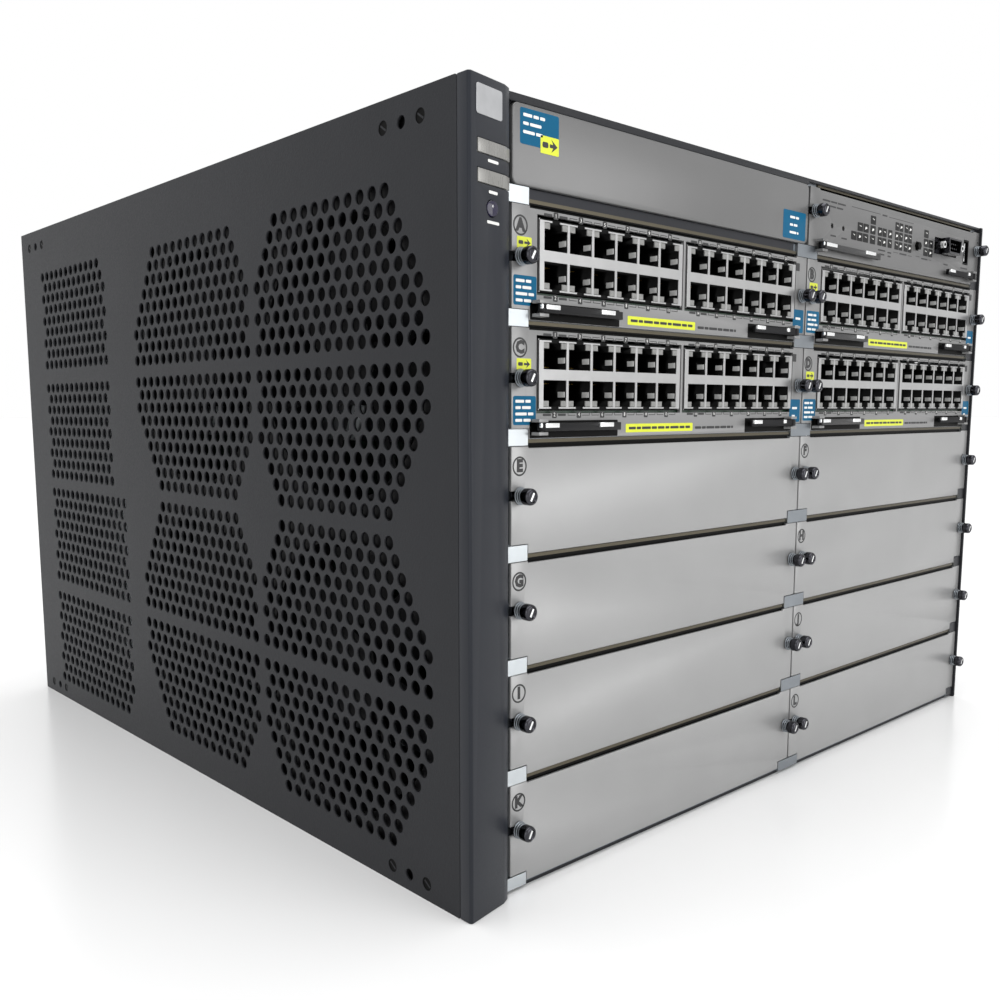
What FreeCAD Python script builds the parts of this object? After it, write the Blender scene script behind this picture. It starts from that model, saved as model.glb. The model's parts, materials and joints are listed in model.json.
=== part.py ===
import FreeCAD, Part
import math
import os

# A modular chassis switch: a seven-unit rack case with twelve card slots in two columns, a
# management module and a bare name plate above them, a side-to-side fan tray in a plenum on
# the left, and four plug-in power supplies at the back.
#
# X runs to the right as seen from the front, Y runs to the back and Z runs up.  The origin is
# the centre of the base.  All lengths are in millimetres.

os.makedirs("parts", exist_ok=True)

# ---- sheet metal and clearances
sheet = 1.5                 # case panels and module plates
thin_sheet = 1.0            # partitions of the card cage
flange_sheet = 1.2          # folded flanges that the side panels screw to
flange_height = 13.0
seat_gap = 0.3              # between pieces that slide or seat on each other
turn_gap = 0.06             # between a pin and its bore
sides = 6                   # flats on small turned parts, which are cut as prisms
bore_sides = 20             # flats around a fan's opening

# ---- module plates and slots
slot_rows = 6
slot_pitch = 44.7
rail_height = 6.2
base_rail_top = 6.7
plate_width = 206.6
plate_gap = 1.2             # between the two columns of plates
side_gap = 0.2              # between the right column and the right side panel
wall_gap = 0.6              # between the cage wall and the left column
rail_set = 0.6              # from the back of the plates to the rails
rail_depth = 9.0
tab_reach = 8.8             # how far a rail's tab reaches in from a plate's end
tab_gap = 0.5               # between a tab and a plate's lower lip
lip_drop = 3.6              # how far a plate's middle reaches down beside the tabs
top_step = 1.0              # how far a plate's middle stays below its top corners
gasket_depth = 1.3
gasket_height = 2.0
window_margin = 12.0        # frame left around the air windows of the cage walls

# ---- header over the slots
header_height = 29.3
lip_height = 3.1            # front lip of the top cover
name_proud = 0.2
name_corner = 3.0
cover_rear_step = 4.0       # the rear panel's top flange

# ---- cards, backplane and depth
board_set = 0.5             # from the back of a plate to its board
board_depth = 248.0
board_sheet = 1.6
board_height = 5.4          # from the rail top to the underside of a board
board_margin = 10.0         # from a plate's end to its board
sink_set = 90.0             # from the module faces to the heat sink of a port module
sink_size = 50.0
sink_height = 14.0
small_sink_set = 110.0      # the management module's heat sink
small_sink_size = 35.0
small_sink_height = 9.0
sink_fins = 4
ledge_reach = 3.0           # how far a card guide reaches under a board
plug_length = 80.0
plug_depth = 10.0
plug_height = 12.0
socket_depth = 8.0
backplane_sheet = 2.4
wiring_space = 20.0         # behind the backplane

# ---- fan tray
plenum_width = 24.8
tray_gap = 0.4              # between the tray and the walls of its plenum
tray_front = 10.0           # from the module faces to the tray
tray_flange = 1.5
fan_bore = 117.0
fan_web_y = 13.4
fan_web_z = 17.2
fan_first_y = 76.7          # from the module faces to the first fan column
fan_first_z = 79.5          # height of the lower fans
fan_tip_gap = 2.5
strut_count = 3
strut_turn = 60.0           # of the first strut, from upright
pull_half = 36.0            # half the height of the pull on the tray's flange
hub_radius = 21.0
hub_base = 2.5
shaft_radius = 3.0
blade_count = 7
blade_tilt = 52.0           # from the fan's axis
blade_sheet = 1.8
blade_chord = 25.0

# ---- power supplies
psu_width = 186.0
psu_height = 124.0
psu_depth = 150.0
psu_wall = 2.0
psu_flange = 4.0
psu_row_gap = 20.0          # between the lower and the upper supplies
handle_reach = 22.0
handle_bar = 7.0
handle_set = 67.0           # from a supply's left side to its handle
handle_margin = 25.0        # from a supply's lower and upper side to its handle
inlet_set = 23.0            # from a supply's left side to its mains inlet
inlet_lift = 20.0
inlet_width = 27.0
inlet_height = 20.0
inlet_depth = 14.0
air_slot_count = 4
air_slot_pitch = 20.0
air_slot_height = 8.0
air_slot_width = 74.0
air_slot_inset = 18.0       # from a supply's right side to its air slots
air_slot_lift = 27.0
rear_slot_count = 8         # slots in the rear panel over the upper supplies
rear_slot_pitch = 48.5
rear_slot_width = 37.0
rear_slot_height = 4.0
rear_slot_set = 20.0        # from the cage wall to the first of them

# ---- front bezel
bezel_width = 24.4
bezel_proud = 7.9
bezel_front_width = 20.5    # up to the bevel
bezel_edge_proud = 4.1      # at the start of the bevel
bezel_end_proud = 2.2       # at the end of the bevel
bezel_wall = 2.0
bezel_ease = 1.0            # small bevel of the outer front edge
panel_lead = 1.2            # the side panels' front edges reach past the module faces
light_left = 4.6
light_height = 5.0
light_drops = (21.0, 31.0)  # from the top of the case to each light bar
lens_x = 12.7
lens_drop = 43.9
lens_radius = 2.8
lens_proud = 0.5
lens_back = 1.0             # from the lens's inner end to the module faces

# ---- jacks
jack_pitch = 14.2
jack_most = 6               # columns of jacks in a block, where the plate has room for them
jack_first = 23.4           # from a plate's left end to its first jack
jack_last = 19.6            # from a plate's right end to its last jack
jack_block_gap = 3.0        # least gap between a plate's two blocks
jack_side = 8.9             # from a jack's middle to the end of its block
jack_lift = 0.2             # a socket's underside stands this far over its board
jack_block_height = 27.3
jack_block_depth = 20.0
jack_proud = 0.3
jack_width = 11.9
jack_height = 7.8
jack_peak = 2.6             # latch channel over or under the opening
jack_peak_width = 6.0
jack_band = 4.1             # bright band between the upper and the lower jacks
jack_depth = 13.0
cutout_gap = 1.2

# ---- captive screws and levers
screw_inset = 4.4           # from a plate's end to its screw
screw_radius = 1.5
screw_notch = 1.9
screw_reach = 4.5           # behind the plate's face
spring_length = 3.2         # between the plate and the screw's head
head_radius = 3.3
head_length = 4.2
header_screw_lift = 2.6     # over the middle of the management plate
lever_set = 13.2            # from a plate's end to the lever's pin
lever_left_length = 47.0
lever_right_length = 36.0
mgmt_lever_set = 9.2        # the same for the management module's longer left lever
mgmt_lever_length = 61.0
lever_height = 3.2
lever_drop = 0.9            # the lever's underside is this far below the rail top
lever_thickness = 2.4
lever_boss = 2.1
lever_pin = 1.0
lever_out = 2.7             # from the plate's face to the pin
lug_height = 1.2
lug_width = 5.0

# ---- management module
mgmt_board_height = 4.0     # from the rail top to the underside of its board
console_end = 48.1          # from the plate's right end to the console socket
console_width = 31.0
console_height = 11.4
console_shell = 18.0
console_shell_height = 9.0
console_proud = 6.0
console_cup = 5.0
console_wall = 1.0
console_lean = 1.2          # how much narrower each side of the shell is at the bottom
console_post_set = 12.5     # from the socket's middle to its screw posts
console_post_radius = 2.4
port_z = 15.3               # from the rail top to the middle of the console socket
aux_end = 19.0
aux_width = 7.2
aux_height = 14.6
aux_cup = 11.0
aux_wall = 0.9
select_end = 86.2           # from the plate's right end to the select button
select_z = 12.2
select_radius = 2.3
select_proud = 1.7
pin_button_xs = (22.6, 34.2)
pin_button_radius = 1.0
button_gap = 0.25
button_collar = 1.4         # the collar that keeps a button behind the plate
button_body = 7.0           # length of a button behind the plate

# ---- vents and bracket holes of the side panels
vent_pitch = 39.0           # each opening stands for a cluster of small punched holes
vent_across = 30.0
vent_slot_height = 13.0     # the right side draws air in through rows of slots
vent_field = 120.0          # width of the octagon of holes in front of a fan
vent_cut = 0.5              # how steeply the octagon's corners are cut
vent_tall = 134.0
rear_vent_set = 91.2        # from the rear face to the middle of the rear fields
rear_vent_width = 112.0
bracket_radius = 2.5
bracket_front = 29.9
bracket_rear = 25.6
bracket_low = 6.8
bracket_drop = 9.8
notch_reach = 3.6           # half the width of the flange notch behind a bracket hole

# ---- derived places
block_room = (plate_width - jack_first - jack_last - jack_block_gap - 2 * jack_side) / 2
jack_columns = min(jack_most, int(block_room / jack_pitch + 1))
jack_second = plate_width - jack_last - (jack_columns - 1) * jack_pitch
case_width = 2 * sheet + plenum_width + thin_sheet + wall_gap + 2 * plate_width + plate_gap + side_gap
x_left = -case_width / 2
x_right = case_width / 2
x_in_left = x_left + sheet
x_in_right = x_right - sheet
cage_x = x_in_left + plenum_width
cage_wall = cage_x + thin_sheet
column_x = (cage_wall + wall_gap, cage_wall + wall_gap + plate_width + plate_gap)
centre_x = column_x[1] - plate_gap / 2

board_front = sheet + board_set
card_end = board_front + board_depth + plug_depth
backplane_front = card_end + seat_gap + socket_depth
backplane_back = backplane_front + backplane_sheet
case_depth = backplane_back + wiring_space + psu_depth
y_face = -case_depth / 2
y_rear = case_depth / 2
y_back = y_face + sheet
y_rail = y_back + rail_set
y_backplane = y_face + backplane_front
y_wiring = y_face + backplane_back + wiring_space

case_height = base_rail_top + slot_rows * slot_pitch + header_height + lip_height
z_cover = case_height - sheet


def rail_top(k):
    """Height of the top of rail k, counted down from the header."""
    return base_rail_top + (slot_rows - k) * slot_pitch


z_header = rail_top(0)


# ---- shape helpers
def box(x0, x1, y0, y1, z0, z1):
    """A block given by its limits."""
    return Part.makeBox(x1 - x0, y1 - y0, z1 - z0, FreeCAD.Vector(x0, y0, z0))


def join(shapes):
    """One solid from pieces that touch or overlap."""
    whole = shapes[0].fuse(shapes[1:])
    return whole.removeSplitter()


def cut(shape, tools):
    """The shape less every tool."""
    return shape.cut(tools) if tools else shape


def prism(points, step):
    """The polygon through the points, pushed along the vector step."""
    corners = [FreeCAD.Vector(*point) for point in points]
    outline = Part.makePolygon(corners + corners[:1])
    return Part.Face(outline).extrude(FreeCAD.Vector(*step))


def prism_x(points, x0, x1):
    """A polygon in Y and Z, from x0 to x1."""
    return prism([(x0, y, z) for y, z in points], (x1 - x0, 0, 0))


def prism_y(points, y0, y1):
    """A polygon in X and Z, from y0 to y1."""
    return prism([(x, y0, z) for x, z in points], (0, y1 - y0, 0))


def prism_z(points, z0, z1):
    """A polygon in X and Y, from z0 to z1."""
    return prism([(x, y, z0) for x, y in points], (0, 0, z1 - z0))


def ring_points(u, v, radius, count):
    """Corners of a regular polygon of that outer radius, with a flat at the bottom."""
    turn = 2 * math.pi / count
    angles = [turn * (i + 0.5) - math.pi / 2 for i in range(count)]
    return [(u + radius * math.cos(a), v + radius * math.sin(a)) for a in angles]


def bore_points(u, v, radius, count):
    """Corners of a regular polygon that a circle of that radius just fits inside."""
    return ring_points(u, v, radius / math.cos(math.pi / count), count)


def save(name, shapes):
    """Write one node, checked for closed solids."""
    solids = [solid for shape in shapes for solid in shape.Solids]
    for solid in solids:
        if not solid.isValid():
            raise ValueError(name + " has a bad solid")
    Part.makeCompound(solids).exportStep("parts/" + name + ".step")
    print(name, len(solids), "solids")


# ---- case
def bracket_ys():
    """Depths of the two columns of rack bracket holes."""
    return (y_face + bracket_front, y_rear - bracket_rear)


def bracket_zs():
    """Heights of the two rows of rack bracket holes."""
    return (bracket_low, case_height - bracket_drop)


def bracket_holes(x0, x1):
    """Round tools for the four bracket holes of one side."""
    along = FreeCAD.Vector(1, 0, 0)
    places = [(y, z) for y in bracket_ys() for z in bracket_zs()]
    return [Part.makeCylinder(bracket_radius, x1 - x0, FreeCAD.Vector(x0, y, z), along)
            for y, z in places]


def fan_ys():
    """Depths of the two fan columns."""
    first = y_face + fan_first_y
    return (first, first + fan_bore + fan_web_y)


def fan_zs():
    """Heights of the two fan rows."""
    return (fan_first_z, fan_first_z + fan_bore + fan_web_z)


def vent_rows():
    """Rise of each row of openings over and under the middle of its field."""
    row_step = vent_pitch * math.sqrt(3) / 2
    count = int((vent_tall / 2 - vent_across / 2) / row_step + 0.5)
    return [(row + 0.5) * row_step + seat_gap for row in range(count)]


def vent_half(width, rise, slope):
    """Half the width of a field of openings at that rise over its middle."""
    return width / 2 - slope * max(0.0, rise - vent_tall / 4)


def hex_vents(x0, x1, y_mid, z_mid, width, slope):
    """Staggered hexagonal openings, mirrored up and down about the middle."""
    radius = vent_across / math.sqrt(3)
    tools = []
    for row, rise in enumerate(vent_rows()):
        limit = vent_half(width, rise, slope) - vent_across / 2
        reach = int(width / vent_pitch) + 1
        steps = [(i + 0.5 * (row % 2)) * vent_pitch for i in range(-reach, reach + 1)]
        for step in [step for step in steps if abs(step) <= limit]:
            for z in (z_mid + rise, z_mid - rise):
                tools.append(prism_x(ring_points(y_mid + step, z, radius, 6), x0, x1))
    return tools


def slot_vents(x0, x1, y_mid, z_mid, width, slope):
    """Long openings across the same field, mirrored up and down about the middle."""
    tools = []
    for rise in vent_rows():
        half = vent_half(width, rise, slope)
        for z in (z_mid + rise, z_mid - rise):
            tools.append(box(x0, x1, y_mid - half, y_mid + half,
                             z - vent_slot_height / 2, z + vent_slot_height / 2))
    return tools


def side_vents(x0, x1, vents):
    """Tools for all the openings of one side panel, made by the function vents."""
    tools = []
    for z in fan_zs():
        for y in fan_ys():
            tools += vents(x0, x1, y, z, vent_field, vent_cut)
        tools += vents(x0, x1, y_rear - rear_vent_set, z, rear_vent_width, 0.0)
    return tools


def side_panel(x0, x1, vents):
    """A perforated side panel with its four rack bracket holes."""
    panel = box(x0, x1, y_face - panel_lead, y_rear, 0, case_height)
    return cut(panel, side_vents(x0, x1, vents) + bracket_holes(x0, x1))


def flange_notches(z_mid, z_edge):
    """Notches that keep the flanges clear of the bracket screws, open to the flanges' edges."""
    low, high = min(z_mid - notch_reach, z_edge), max(z_mid + notch_reach, z_edge)
    spans = ((x_in_left, x_in_left + flange_sheet), (x_in_right - flange_sheet, x_in_right))
    return [box(x0, x1, y - notch_reach, y + notch_reach, low, high)
            for x0, x1 in spans for y in bracket_ys()]


def base_pan():
    """The bottom sheet with a folded flange along each side."""
    floor = box(x_in_left, x_in_right, y_rail, y_rear - sheet, 0, sheet)
    front = y_rail + rail_depth + seat_gap
    left = box(x_in_left, x_in_left + flange_sheet, front, y_rear - sheet, 0, flange_height)
    right = box(x_in_right - flange_sheet, x_in_right, front, y_rear - sheet, 0, flange_height)
    return cut(join([floor, left, right]), flange_notches(bracket_low, flange_height))


def top_cover():
    """The top sheet with side flanges, a front lip and the header wall behind the name plate."""
    low = case_height - flange_height
    front = y_rail + rail_depth + seat_gap
    back = y_rear - cover_rear_step
    roof = box(x_in_left, x_in_right, y_face, back, z_cover, case_height)
    left = box(x_in_left, x_in_left + flange_sheet, front, back, low, case_height)
    right = box(x_in_right - flange_sheet, x_in_right, front, back, low, case_height)
    wall_right = centre_x - thin_sheet / 2 - seat_gap
    lip = box(cage_x - tray_gap, wall_right, y_face, y_rail, case_height - lip_height, case_height)
    wall = box(cage_wall + seat_gap, wall_right, y_rail, y_rail + sheet, z_header + seat_gap, case_height)
    notches = flange_notches(case_height - bracket_drop, low)
    return cut(join([roof, left, right, lip, wall]), notches)


def psu_places():
    """Left and lower corner of each power supply, lower row first."""
    middle = (cage_wall + centre_x) / 2, (centre_x + x_in_right) / 2
    low = sheet + seat_gap
    high = low + psu_height + psu_row_gap
    return [(x - psu_width / 2, z) for z in (low, high) for x in middle]


def rear_panel():
    """The back sheet with a folded top flange, four supply openings and a row of slots."""
    back = box(cage_x, x_in_right, y_rear - sheet, y_rear, sheet, z_cover)
    flange_front = y_rear - cover_rear_step + seat_gap
    flange = box(x_in_left, x_in_right, flange_front, y_rear, z_cover, case_height)
    tools = []
    for x, z in psu_places():
        tools.append(box(x - tray_gap, x + psu_width + tray_gap, y_rear - sheet, y_rear,
                         z - seat_gap, z + psu_height + tray_gap))
    flange_top = psu_places()[2][1] + psu_height + psu_flange
    slot_low = (flange_top + z_cover - rear_slot_height) / 2
    for i in range(rear_slot_count):
        x = cage_wall + rear_slot_set + i * rear_slot_pitch
        tools.append(box(x, x + rear_slot_width, y_rear - sheet, y_rear,
                         slot_low, slot_low + rear_slot_height))
    return cut(join([back, flange]), tools)


def rail_low(k):
    """Underside of rail k; the lowest rail stands on the base pan."""
    return max(rail_top(k) - rail_height, sheet)


def tab_spans():
    """X limits of the left, middle and right tabs of a rail."""
    left = (x_left + bezel_width + seat_gap, column_x[0] + tab_reach)
    middle = (column_x[0] + plate_width - tab_reach, column_x[1] + tab_reach)
    right = (column_x[1] + plate_width - tab_reach, x_in_right)
    return (left, middle, right)


def screw_xs(column):
    """X places of the two captive screws of a plate."""
    left = column_x[column]
    return (left + screw_inset, left + plate_width - screw_inset)


def slot_screw_z(row):
    """Height of the captive screws of a slot row; row -1 is the management module."""
    if row < 0:
        return z_header + header_height / 2 + header_screw_lift
    return (rail_top(row + 1) + rail_top(row) - rail_height) / 2


def cage_windows(x0, x1):
    """Tools for the air windows in a partition, one for each slot row."""
    front = fan_ys()[0] - fan_bore / 2 + window_margin
    back = min(fan_ys()[1] + fan_bore / 2, y_backplane) - window_margin
    tools = []
    for row in range(slot_rows):
        low = rail_top(row + 1) + window_margin
        high = rail_top(row) - rail_height
        tools.append(box(x0, x1, front, back, low, high))
    return tools


def right_wall_span():
    """X limits of the cage's right partition, inside the folded flanges."""
    x1 = x_in_right - flange_sheet - seat_gap
    return x1 - thin_sheet, x1


def cage_walls():
    """The left, middle and right partitions of the card cage, with their air windows."""
    back = y_rear - sheet
    left = box(cage_x, cage_wall, y_rail, back, sheet, z_cover)
    half = thin_sheet / 2
    middle = box(centre_x - half, centre_x + half, y_rail, y_backplane - seat_gap, sheet, z_cover)
    rear = box(centre_x - half, centre_x + half, y_wiring, back, sheet, z_cover)
    x0, x1 = right_wall_span()
    right = box(x0, x1, y_rail, y_backplane - seat_gap, sheet, z_cover)
    return [cut(left, cage_windows(cage_x, cage_wall)),
            cut(middle, cage_windows(centre_x - half, centre_x + half)),
            cut(right, cage_windows(x0, x1)), rear]


def cage_rails():
    """The cross rails between the slot rows, with the bright tabs between the plates."""
    pieces = []
    for k in range(slot_rows + 1):
        pieces.append(box(cage_x, x_in_right, y_rail, y_rail + rail_depth, rail_low(k), rail_top(k)))
        for x0, x1 in tab_spans():
            pieces.append(box(x0, x1, y_face, y_rail, rail_low(k), rail_top(k)))
    return pieces


def cage_uprights():
    """The uprights behind the plates' ends, with a square hole for each captive screw."""
    left, middle, right = tab_spans()
    depth = 2 * thin_sheet
    spans = [(left[0], left[1], z_header), (middle[0], centre_x, z_header),
             (centre_x, middle[1], z_cover), (right[0], right[1], z_cover)]
    posts = [box(x0, x1, y_rail, y_rail + depth, sheet, top) for x0, x1, top in spans]
    places = [(x, slot_screw_z(row)) for row in range(slot_rows) for c in (0, 1) for x in screw_xs(c)]
    places += [(x, slot_screw_z(-1)) for x in screw_xs(1)]
    half = screw_notch
    tools = [box(x - half, x + half, y_rail, y_rail + depth, z - half, z + half) for x, z in places]
    return [cut(post, tools) for post in posts]


def card_ledges():
    """The card guides: a ledge under each board's edge, on the cage walls."""
    pieces = []
    right_wall = (cage_wall, centre_x + thin_sheet / 2)
    left_ends = (centre_x - thin_sheet / 2, right_wall_span()[0])
    rows = [(row, c) for row in range(slot_rows) for c in (0, 1)] + [(-1, 1)]
    for row, c in rows:
        top = board_underside(row) - seat_gap
        low_edge = column_x[c] + board_margin + ledge_reach
        high_edge = column_x[c] + plate_width - board_margin - ledge_reach
        y0 = y_rail + rail_depth
        y1 = y_backplane - socket_depth - seat_gap
        pieces.append(box(right_wall[c], low_edge, y0, y1, top - thin_sheet, top))
        pieces.append(box(high_edge, left_ends[c], y0, y1, top - thin_sheet, top))
    return pieces


def psu_shelf():
    """The shelf that carries the upper power supplies."""
    top = psu_places()[2][1] - seat_gap
    return box(cage_x, x_in_right, y_wiring, y_rear - sheet, top - sheet, top)


def card_cage():
    """The welded cage: partitions, rails, uprights, card guides and the supply shelf."""
    return join(cage_walls() + cage_rails() + cage_uprights() + card_ledges() + [psu_shelf()])


def rail_gaskets():
    """The springy contact strips in the slots between the plates, one for each plate."""
    strips = []
    for k in range(slot_rows):
        for c in (0, 1):
            x0 = column_x[c] + tab_reach + tab_gap
            x1 = column_x[c] + plate_width - tab_reach - tab_gap
            z0 = rail_top(k) - rail_height + (rail_height - lip_drop - gasket_height) / 2
            strips.append(box(x0, x1, y_rail - gasket_depth, y_rail, z0, z0 + gasket_height))
    x0 = column_x[1] + tab_reach + tab_gap
    x1 = column_x[1] + plate_width - tab_reach - tab_gap
    strips.append(box(x0, x1, y_face + sheet, y_face + sheet + gasket_depth,
                      z_cover - gasket_height / 2, z_cover))
    return strips


# ---- front bezel and its lights
def bezel_front(across):
    """Depth of the bezel's slanting front, that far from its outer side."""
    slope = (bezel_proud - bezel_edge_proud) / bezel_front_width
    return y_face - bezel_proud + slope * across


def bezel_outline(proud=0.0):
    """Front edge of the bezel in X and Y, from the outer corner to the end of the bevel."""
    return [(x_left, y_face - bezel_proud + bezel_ease),
            (x_left + bezel_ease, bezel_front(bezel_ease) - proud),
            (x_left + bezel_front_width, y_face - bezel_edge_proud - proud),
            (x_left + bezel_width, y_face - bezel_end_proud - proud)]


def front_bezel():
    """The moulded column at the left of the front, open at the back."""
    seam = y_face - panel_lead - seat_gap / 2
    inner = x_in_left + seat_gap
    back = y_face - seat_gap
    outer = bezel_outline() + [(x_left + bezel_width, back), (inner, back), (inner, seam), (x_left, seam)]
    column = prism_z(outer, 0, case_height)
    hollow_left = inner + bezel_wall
    hollow_right = x_left + bezel_width - bezel_wall
    front = [(hollow_left, y_face - bezel_proud + bezel_wall + bezel_ease),
             (x_left + bezel_front_width - bezel_wall / 2, y_face - bezel_edge_proud + bezel_wall),
             (hollow_right, y_face - bezel_end_proud + bezel_wall / 2)]
    hollow = prism_z(front + [(hollow_right, back), (hollow_left, back)], bezel_wall, case_height - bezel_wall)
    tools = [hollow, light_lens(seat_gap / 2)]
    for drop in light_drops:
        top = case_height - drop
        tools.append(box(x_left + light_left, x_left + bezel_width, y_face - bezel_proud, y_face,
                         top - light_height, top))
    return cut(column, tools)


def light_lens(gap=0.0):
    """The round locator lens, or its hole when a gap is given."""
    y0 = y_face - bezel_proud if gap else bezel_front(lens_x) - lens_proud
    place = ring_points(x_left + lens_x, case_height - lens_drop, lens_radius + gap, 2 * sides)
    return prism_y(place, y0, y_face - lens_back)


def status_lights():
    """Two light bars that wrap over the bezel's bevel, and the locator lens."""
    bars = []
    front = bezel_outline(name_proud)
    for drop in light_drops:
        top = case_height - drop - seat_gap / 2
        low = top - light_height + seat_gap
        back = y_face - bezel_end_proud + bezel_wall / 2
        solid = prism_z(front + [(x_left + bezel_width, back), (x_left, back)], low, top)
        room = box(x_left + light_left + seat_gap / 2, x_left + bezel_width, y_face - 2 * bezel_proud, y_face,
                   low, top)
        bars.append(solid.common(room))
    return bars + [light_lens()]


def name_plate():
    """The bare grey panel over the left column, with rounded corners."""
    x0, x1 = column_x[0], centre_x - thin_sheet
    z0, z1 = z_header + seat_gap, case_height - lip_height
    panel = box(x0, x1, y_face - name_proud, y_rail, z0, z1)
    corners = [edge for edge in panel.Edges if abs(edge.Length - (y_rail - y_face + name_proud)) < 1e-6]
    return panel.makeFillet(name_corner, corners)


# ---- plates, screws and levers
def plate_blank(column, row):
    """A bare module plate: stepped corners beside the rail tabs and notched ends for its screws."""
    x0 = column_x[column]
    x1 = x0 + plate_width
    low = z_header if row < 0 else rail_top(row + 1)
    high = case_height - lip_height if row < 0 else rail_top(row) - rail_height
    step_in = tab_reach + tab_gap
    top = high - top_step
    outline = [(x0, low + tab_gap / 2), (x0 + step_in, low + tab_gap / 2), (x0 + step_in, low - lip_drop),
               (x1 - step_in, low - lip_drop), (x1 - step_in, low + tab_gap / 2), (x1, low + tab_gap / 2),
               (x1, high - tab_gap / 2), (x1 - step_in, high - tab_gap / 2), (x1 - step_in, top),
               (x0 + step_in, top), (x0 + step_in, high - tab_gap / 2), (x0, high - tab_gap / 2)]
    plate = prism_y(outline, y_face, y_back)
    z = slot_screw_z(row)
    reach = screw_inset + screw_notch
    left = box(x0, x0 + reach, y_face, y_back, z - screw_notch, z + screw_notch)
    right = box(x1 - reach, x1, y_face, y_back, z - screw_notch, z + screw_notch)
    return cut(plate, [left, right])


def captive_screw(x, z):
    """A captive screw: shank through the plate's notch and driven head, with room for its spring."""
    front = y_face - spring_length
    shank = prism_y(ring_points(x, z, screw_radius, sides), front, y_face + screw_reach)
    head = prism_y(ring_points(x, z, head_radius, sides), front - head_length, front)
    return join([shank, head])


def lever_place(column, row, left):
    """Pin place and underside of a lever."""
    if left:
        x = column_x[column] + (mgmt_lever_set if row < 0 else lever_set)
    else:
        x = column_x[column] + plate_width - lever_set
    low = z_header if row < 0 else rail_top(row + 1)
    return x, y_face - lever_out, low - lever_drop


def lever_lugs(column, row):
    """The lugs and pins on a plate that carry its two levers."""
    pieces = []
    for left in (True, False):
        x, y, z = lever_place(column, row, left)
        top = z + lever_height
        half = lug_width / 2
        front = y - lever_pin - thin_sheet / 2
        pieces.append(box(x - half, x + half, front, y_face, z - seat_gap - lug_height, z - seat_gap))
        pieces.append(box(x - half, x + half, front, y_face, top + seat_gap, top + seat_gap + lug_height))
        pieces.append(prism_z(ring_points(x, y, lever_pin, sides), z - seat_gap, top + seat_gap))
    return pieces


def lever(column, row, left):
    """An extractor lever: a boss on the pin and a tapered bar along the plate's lower edge."""
    x, y, z = lever_place(column, row, left)
    way = 1 if left else -1
    left_length = mgmt_lever_length if row < 0 else lever_left_length
    length = left_length if left else lever_right_length
    half = lever_thickness / 2
    bar = [(x, y - half), (x + way * length, y - half / 2), (x + way * length, y + half), (x, y + half)]
    boss = prism_z(ring_points(x, y, lever_boss, sides), z, z + lever_height)
    body = join([prism_z(bar, z, z + lever_height), boss])
    bore = prism_z(bore_points(x, y, lever_pin + turn_gap, sides), z, z + lever_height)
    return cut(body, [bore])


# ---- port modules
def board_underside(row):
    """Height of the underside of a row's board; row -1 is the management module."""
    if row < 0:
        return z_header + mgmt_board_height
    return rail_top(row + 1) + board_height


def board_top(row):
    """Height of the top of a row's board."""
    return board_underside(row) + board_sheet


def board_span(column):
    """X limits of a column's boards."""
    return column_x[column] + board_margin, column_x[column] + plate_width - board_margin


def plug_spans(column):
    """X limits of the connector between a column's boards and the backplane."""
    middle = column_x[column] + plate_width / 2
    return middle - plug_length / 2, middle + plug_length / 2


def circuit_board(column, row, extras):
    """A card with its rear plug and whatever stands on it."""
    x0, x1 = board_span(column)
    y0 = y_face + board_front
    y1 = y0 + board_depth
    low, top = board_underside(row), board_top(row)
    card = box(x0, x1, y0, y1, low, top)
    px0, px1 = plug_spans(column)
    plug = box(px0, px1, y1 - plug_depth / 2, y1 + plug_depth, low, low + plug_height)
    return join([card, plug] + extras)


def heat_sink(column, row, y_offset, size, height):
    """A finned heat sink, standing on a board."""
    x = column_x[column] + plate_width / 2 - size / 2
    y = y_face + y_offset
    z = board_top(row)
    foot = box(x, x + size, y, y + size, z, z + height / 4)
    step = size / (2 * sink_fins - 1)
    fins = [box(x + 2 * i * step, x + (2 * i + 1) * step, y, y + size, z, z + height)
            for i in range(sink_fins)]
    return [foot] + fins


def jack_xs(column):
    """X places of the jacks, one list for each block."""
    starts = (column_x[column] + jack_first, column_x[column] + jack_second)
    return [[start + i * jack_pitch for i in range(jack_columns)] for start in starts]


def jack_zs(row):
    """Lower edge of the upper openings and upper edge of the lower ones."""
    middle = board_top(row) + jack_lift + jack_block_height / 2
    return middle + jack_band / 2, middle - jack_band / 2


def jack_opening(x, z, way):
    """The hollow of one jack, with its latch channel up or down."""
    half = jack_width / 2
    peak = jack_peak_width / 2
    far = z + way * jack_height
    tip = far + way * jack_peak
    outline = [(x - half, z), (x + half, z), (x + half, far), (x + peak, far),
               (x + peak, tip), (x - peak, tip), (x - peak, far), (x - half, far)]
    return prism_y(outline, y_face - jack_proud, y_face - jack_proud + jack_depth)


def jack_block(column, row):
    """Two shielded blocks of twelve jacks, standing on the board behind the plate's cut-outs."""
    low = board_top(row) + jack_lift
    upper, lower = jack_zs(row)
    blocks = []
    for xs in jack_xs(column):
        y0 = y_face - jack_proud
        block = box(xs[0] - jack_side, xs[-1] + jack_side, y0, y0 + jack_block_depth,
                    low, low + jack_block_height)
        tools = [jack_opening(x, upper, 1) for x in xs] + [jack_opening(x, lower, -1) for x in xs]
        blocks.append(cut(block, tools))
    return blocks


def port_plate(column, row):
    """The plate of a port module, with two jack cut-outs and its lever lugs."""
    low = board_top(row) + jack_lift
    tools = []
    for xs in jack_xs(column):
        tools.append(box(xs[0] - jack_side - cutout_gap, xs[-1] + jack_side + cutout_gap, y_face, y_back,
                         low - cutout_gap, low + jack_block_height + cutout_gap))
    return join([cut(plate_blank(column, row), tools)] + lever_lugs(column, row))


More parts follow.
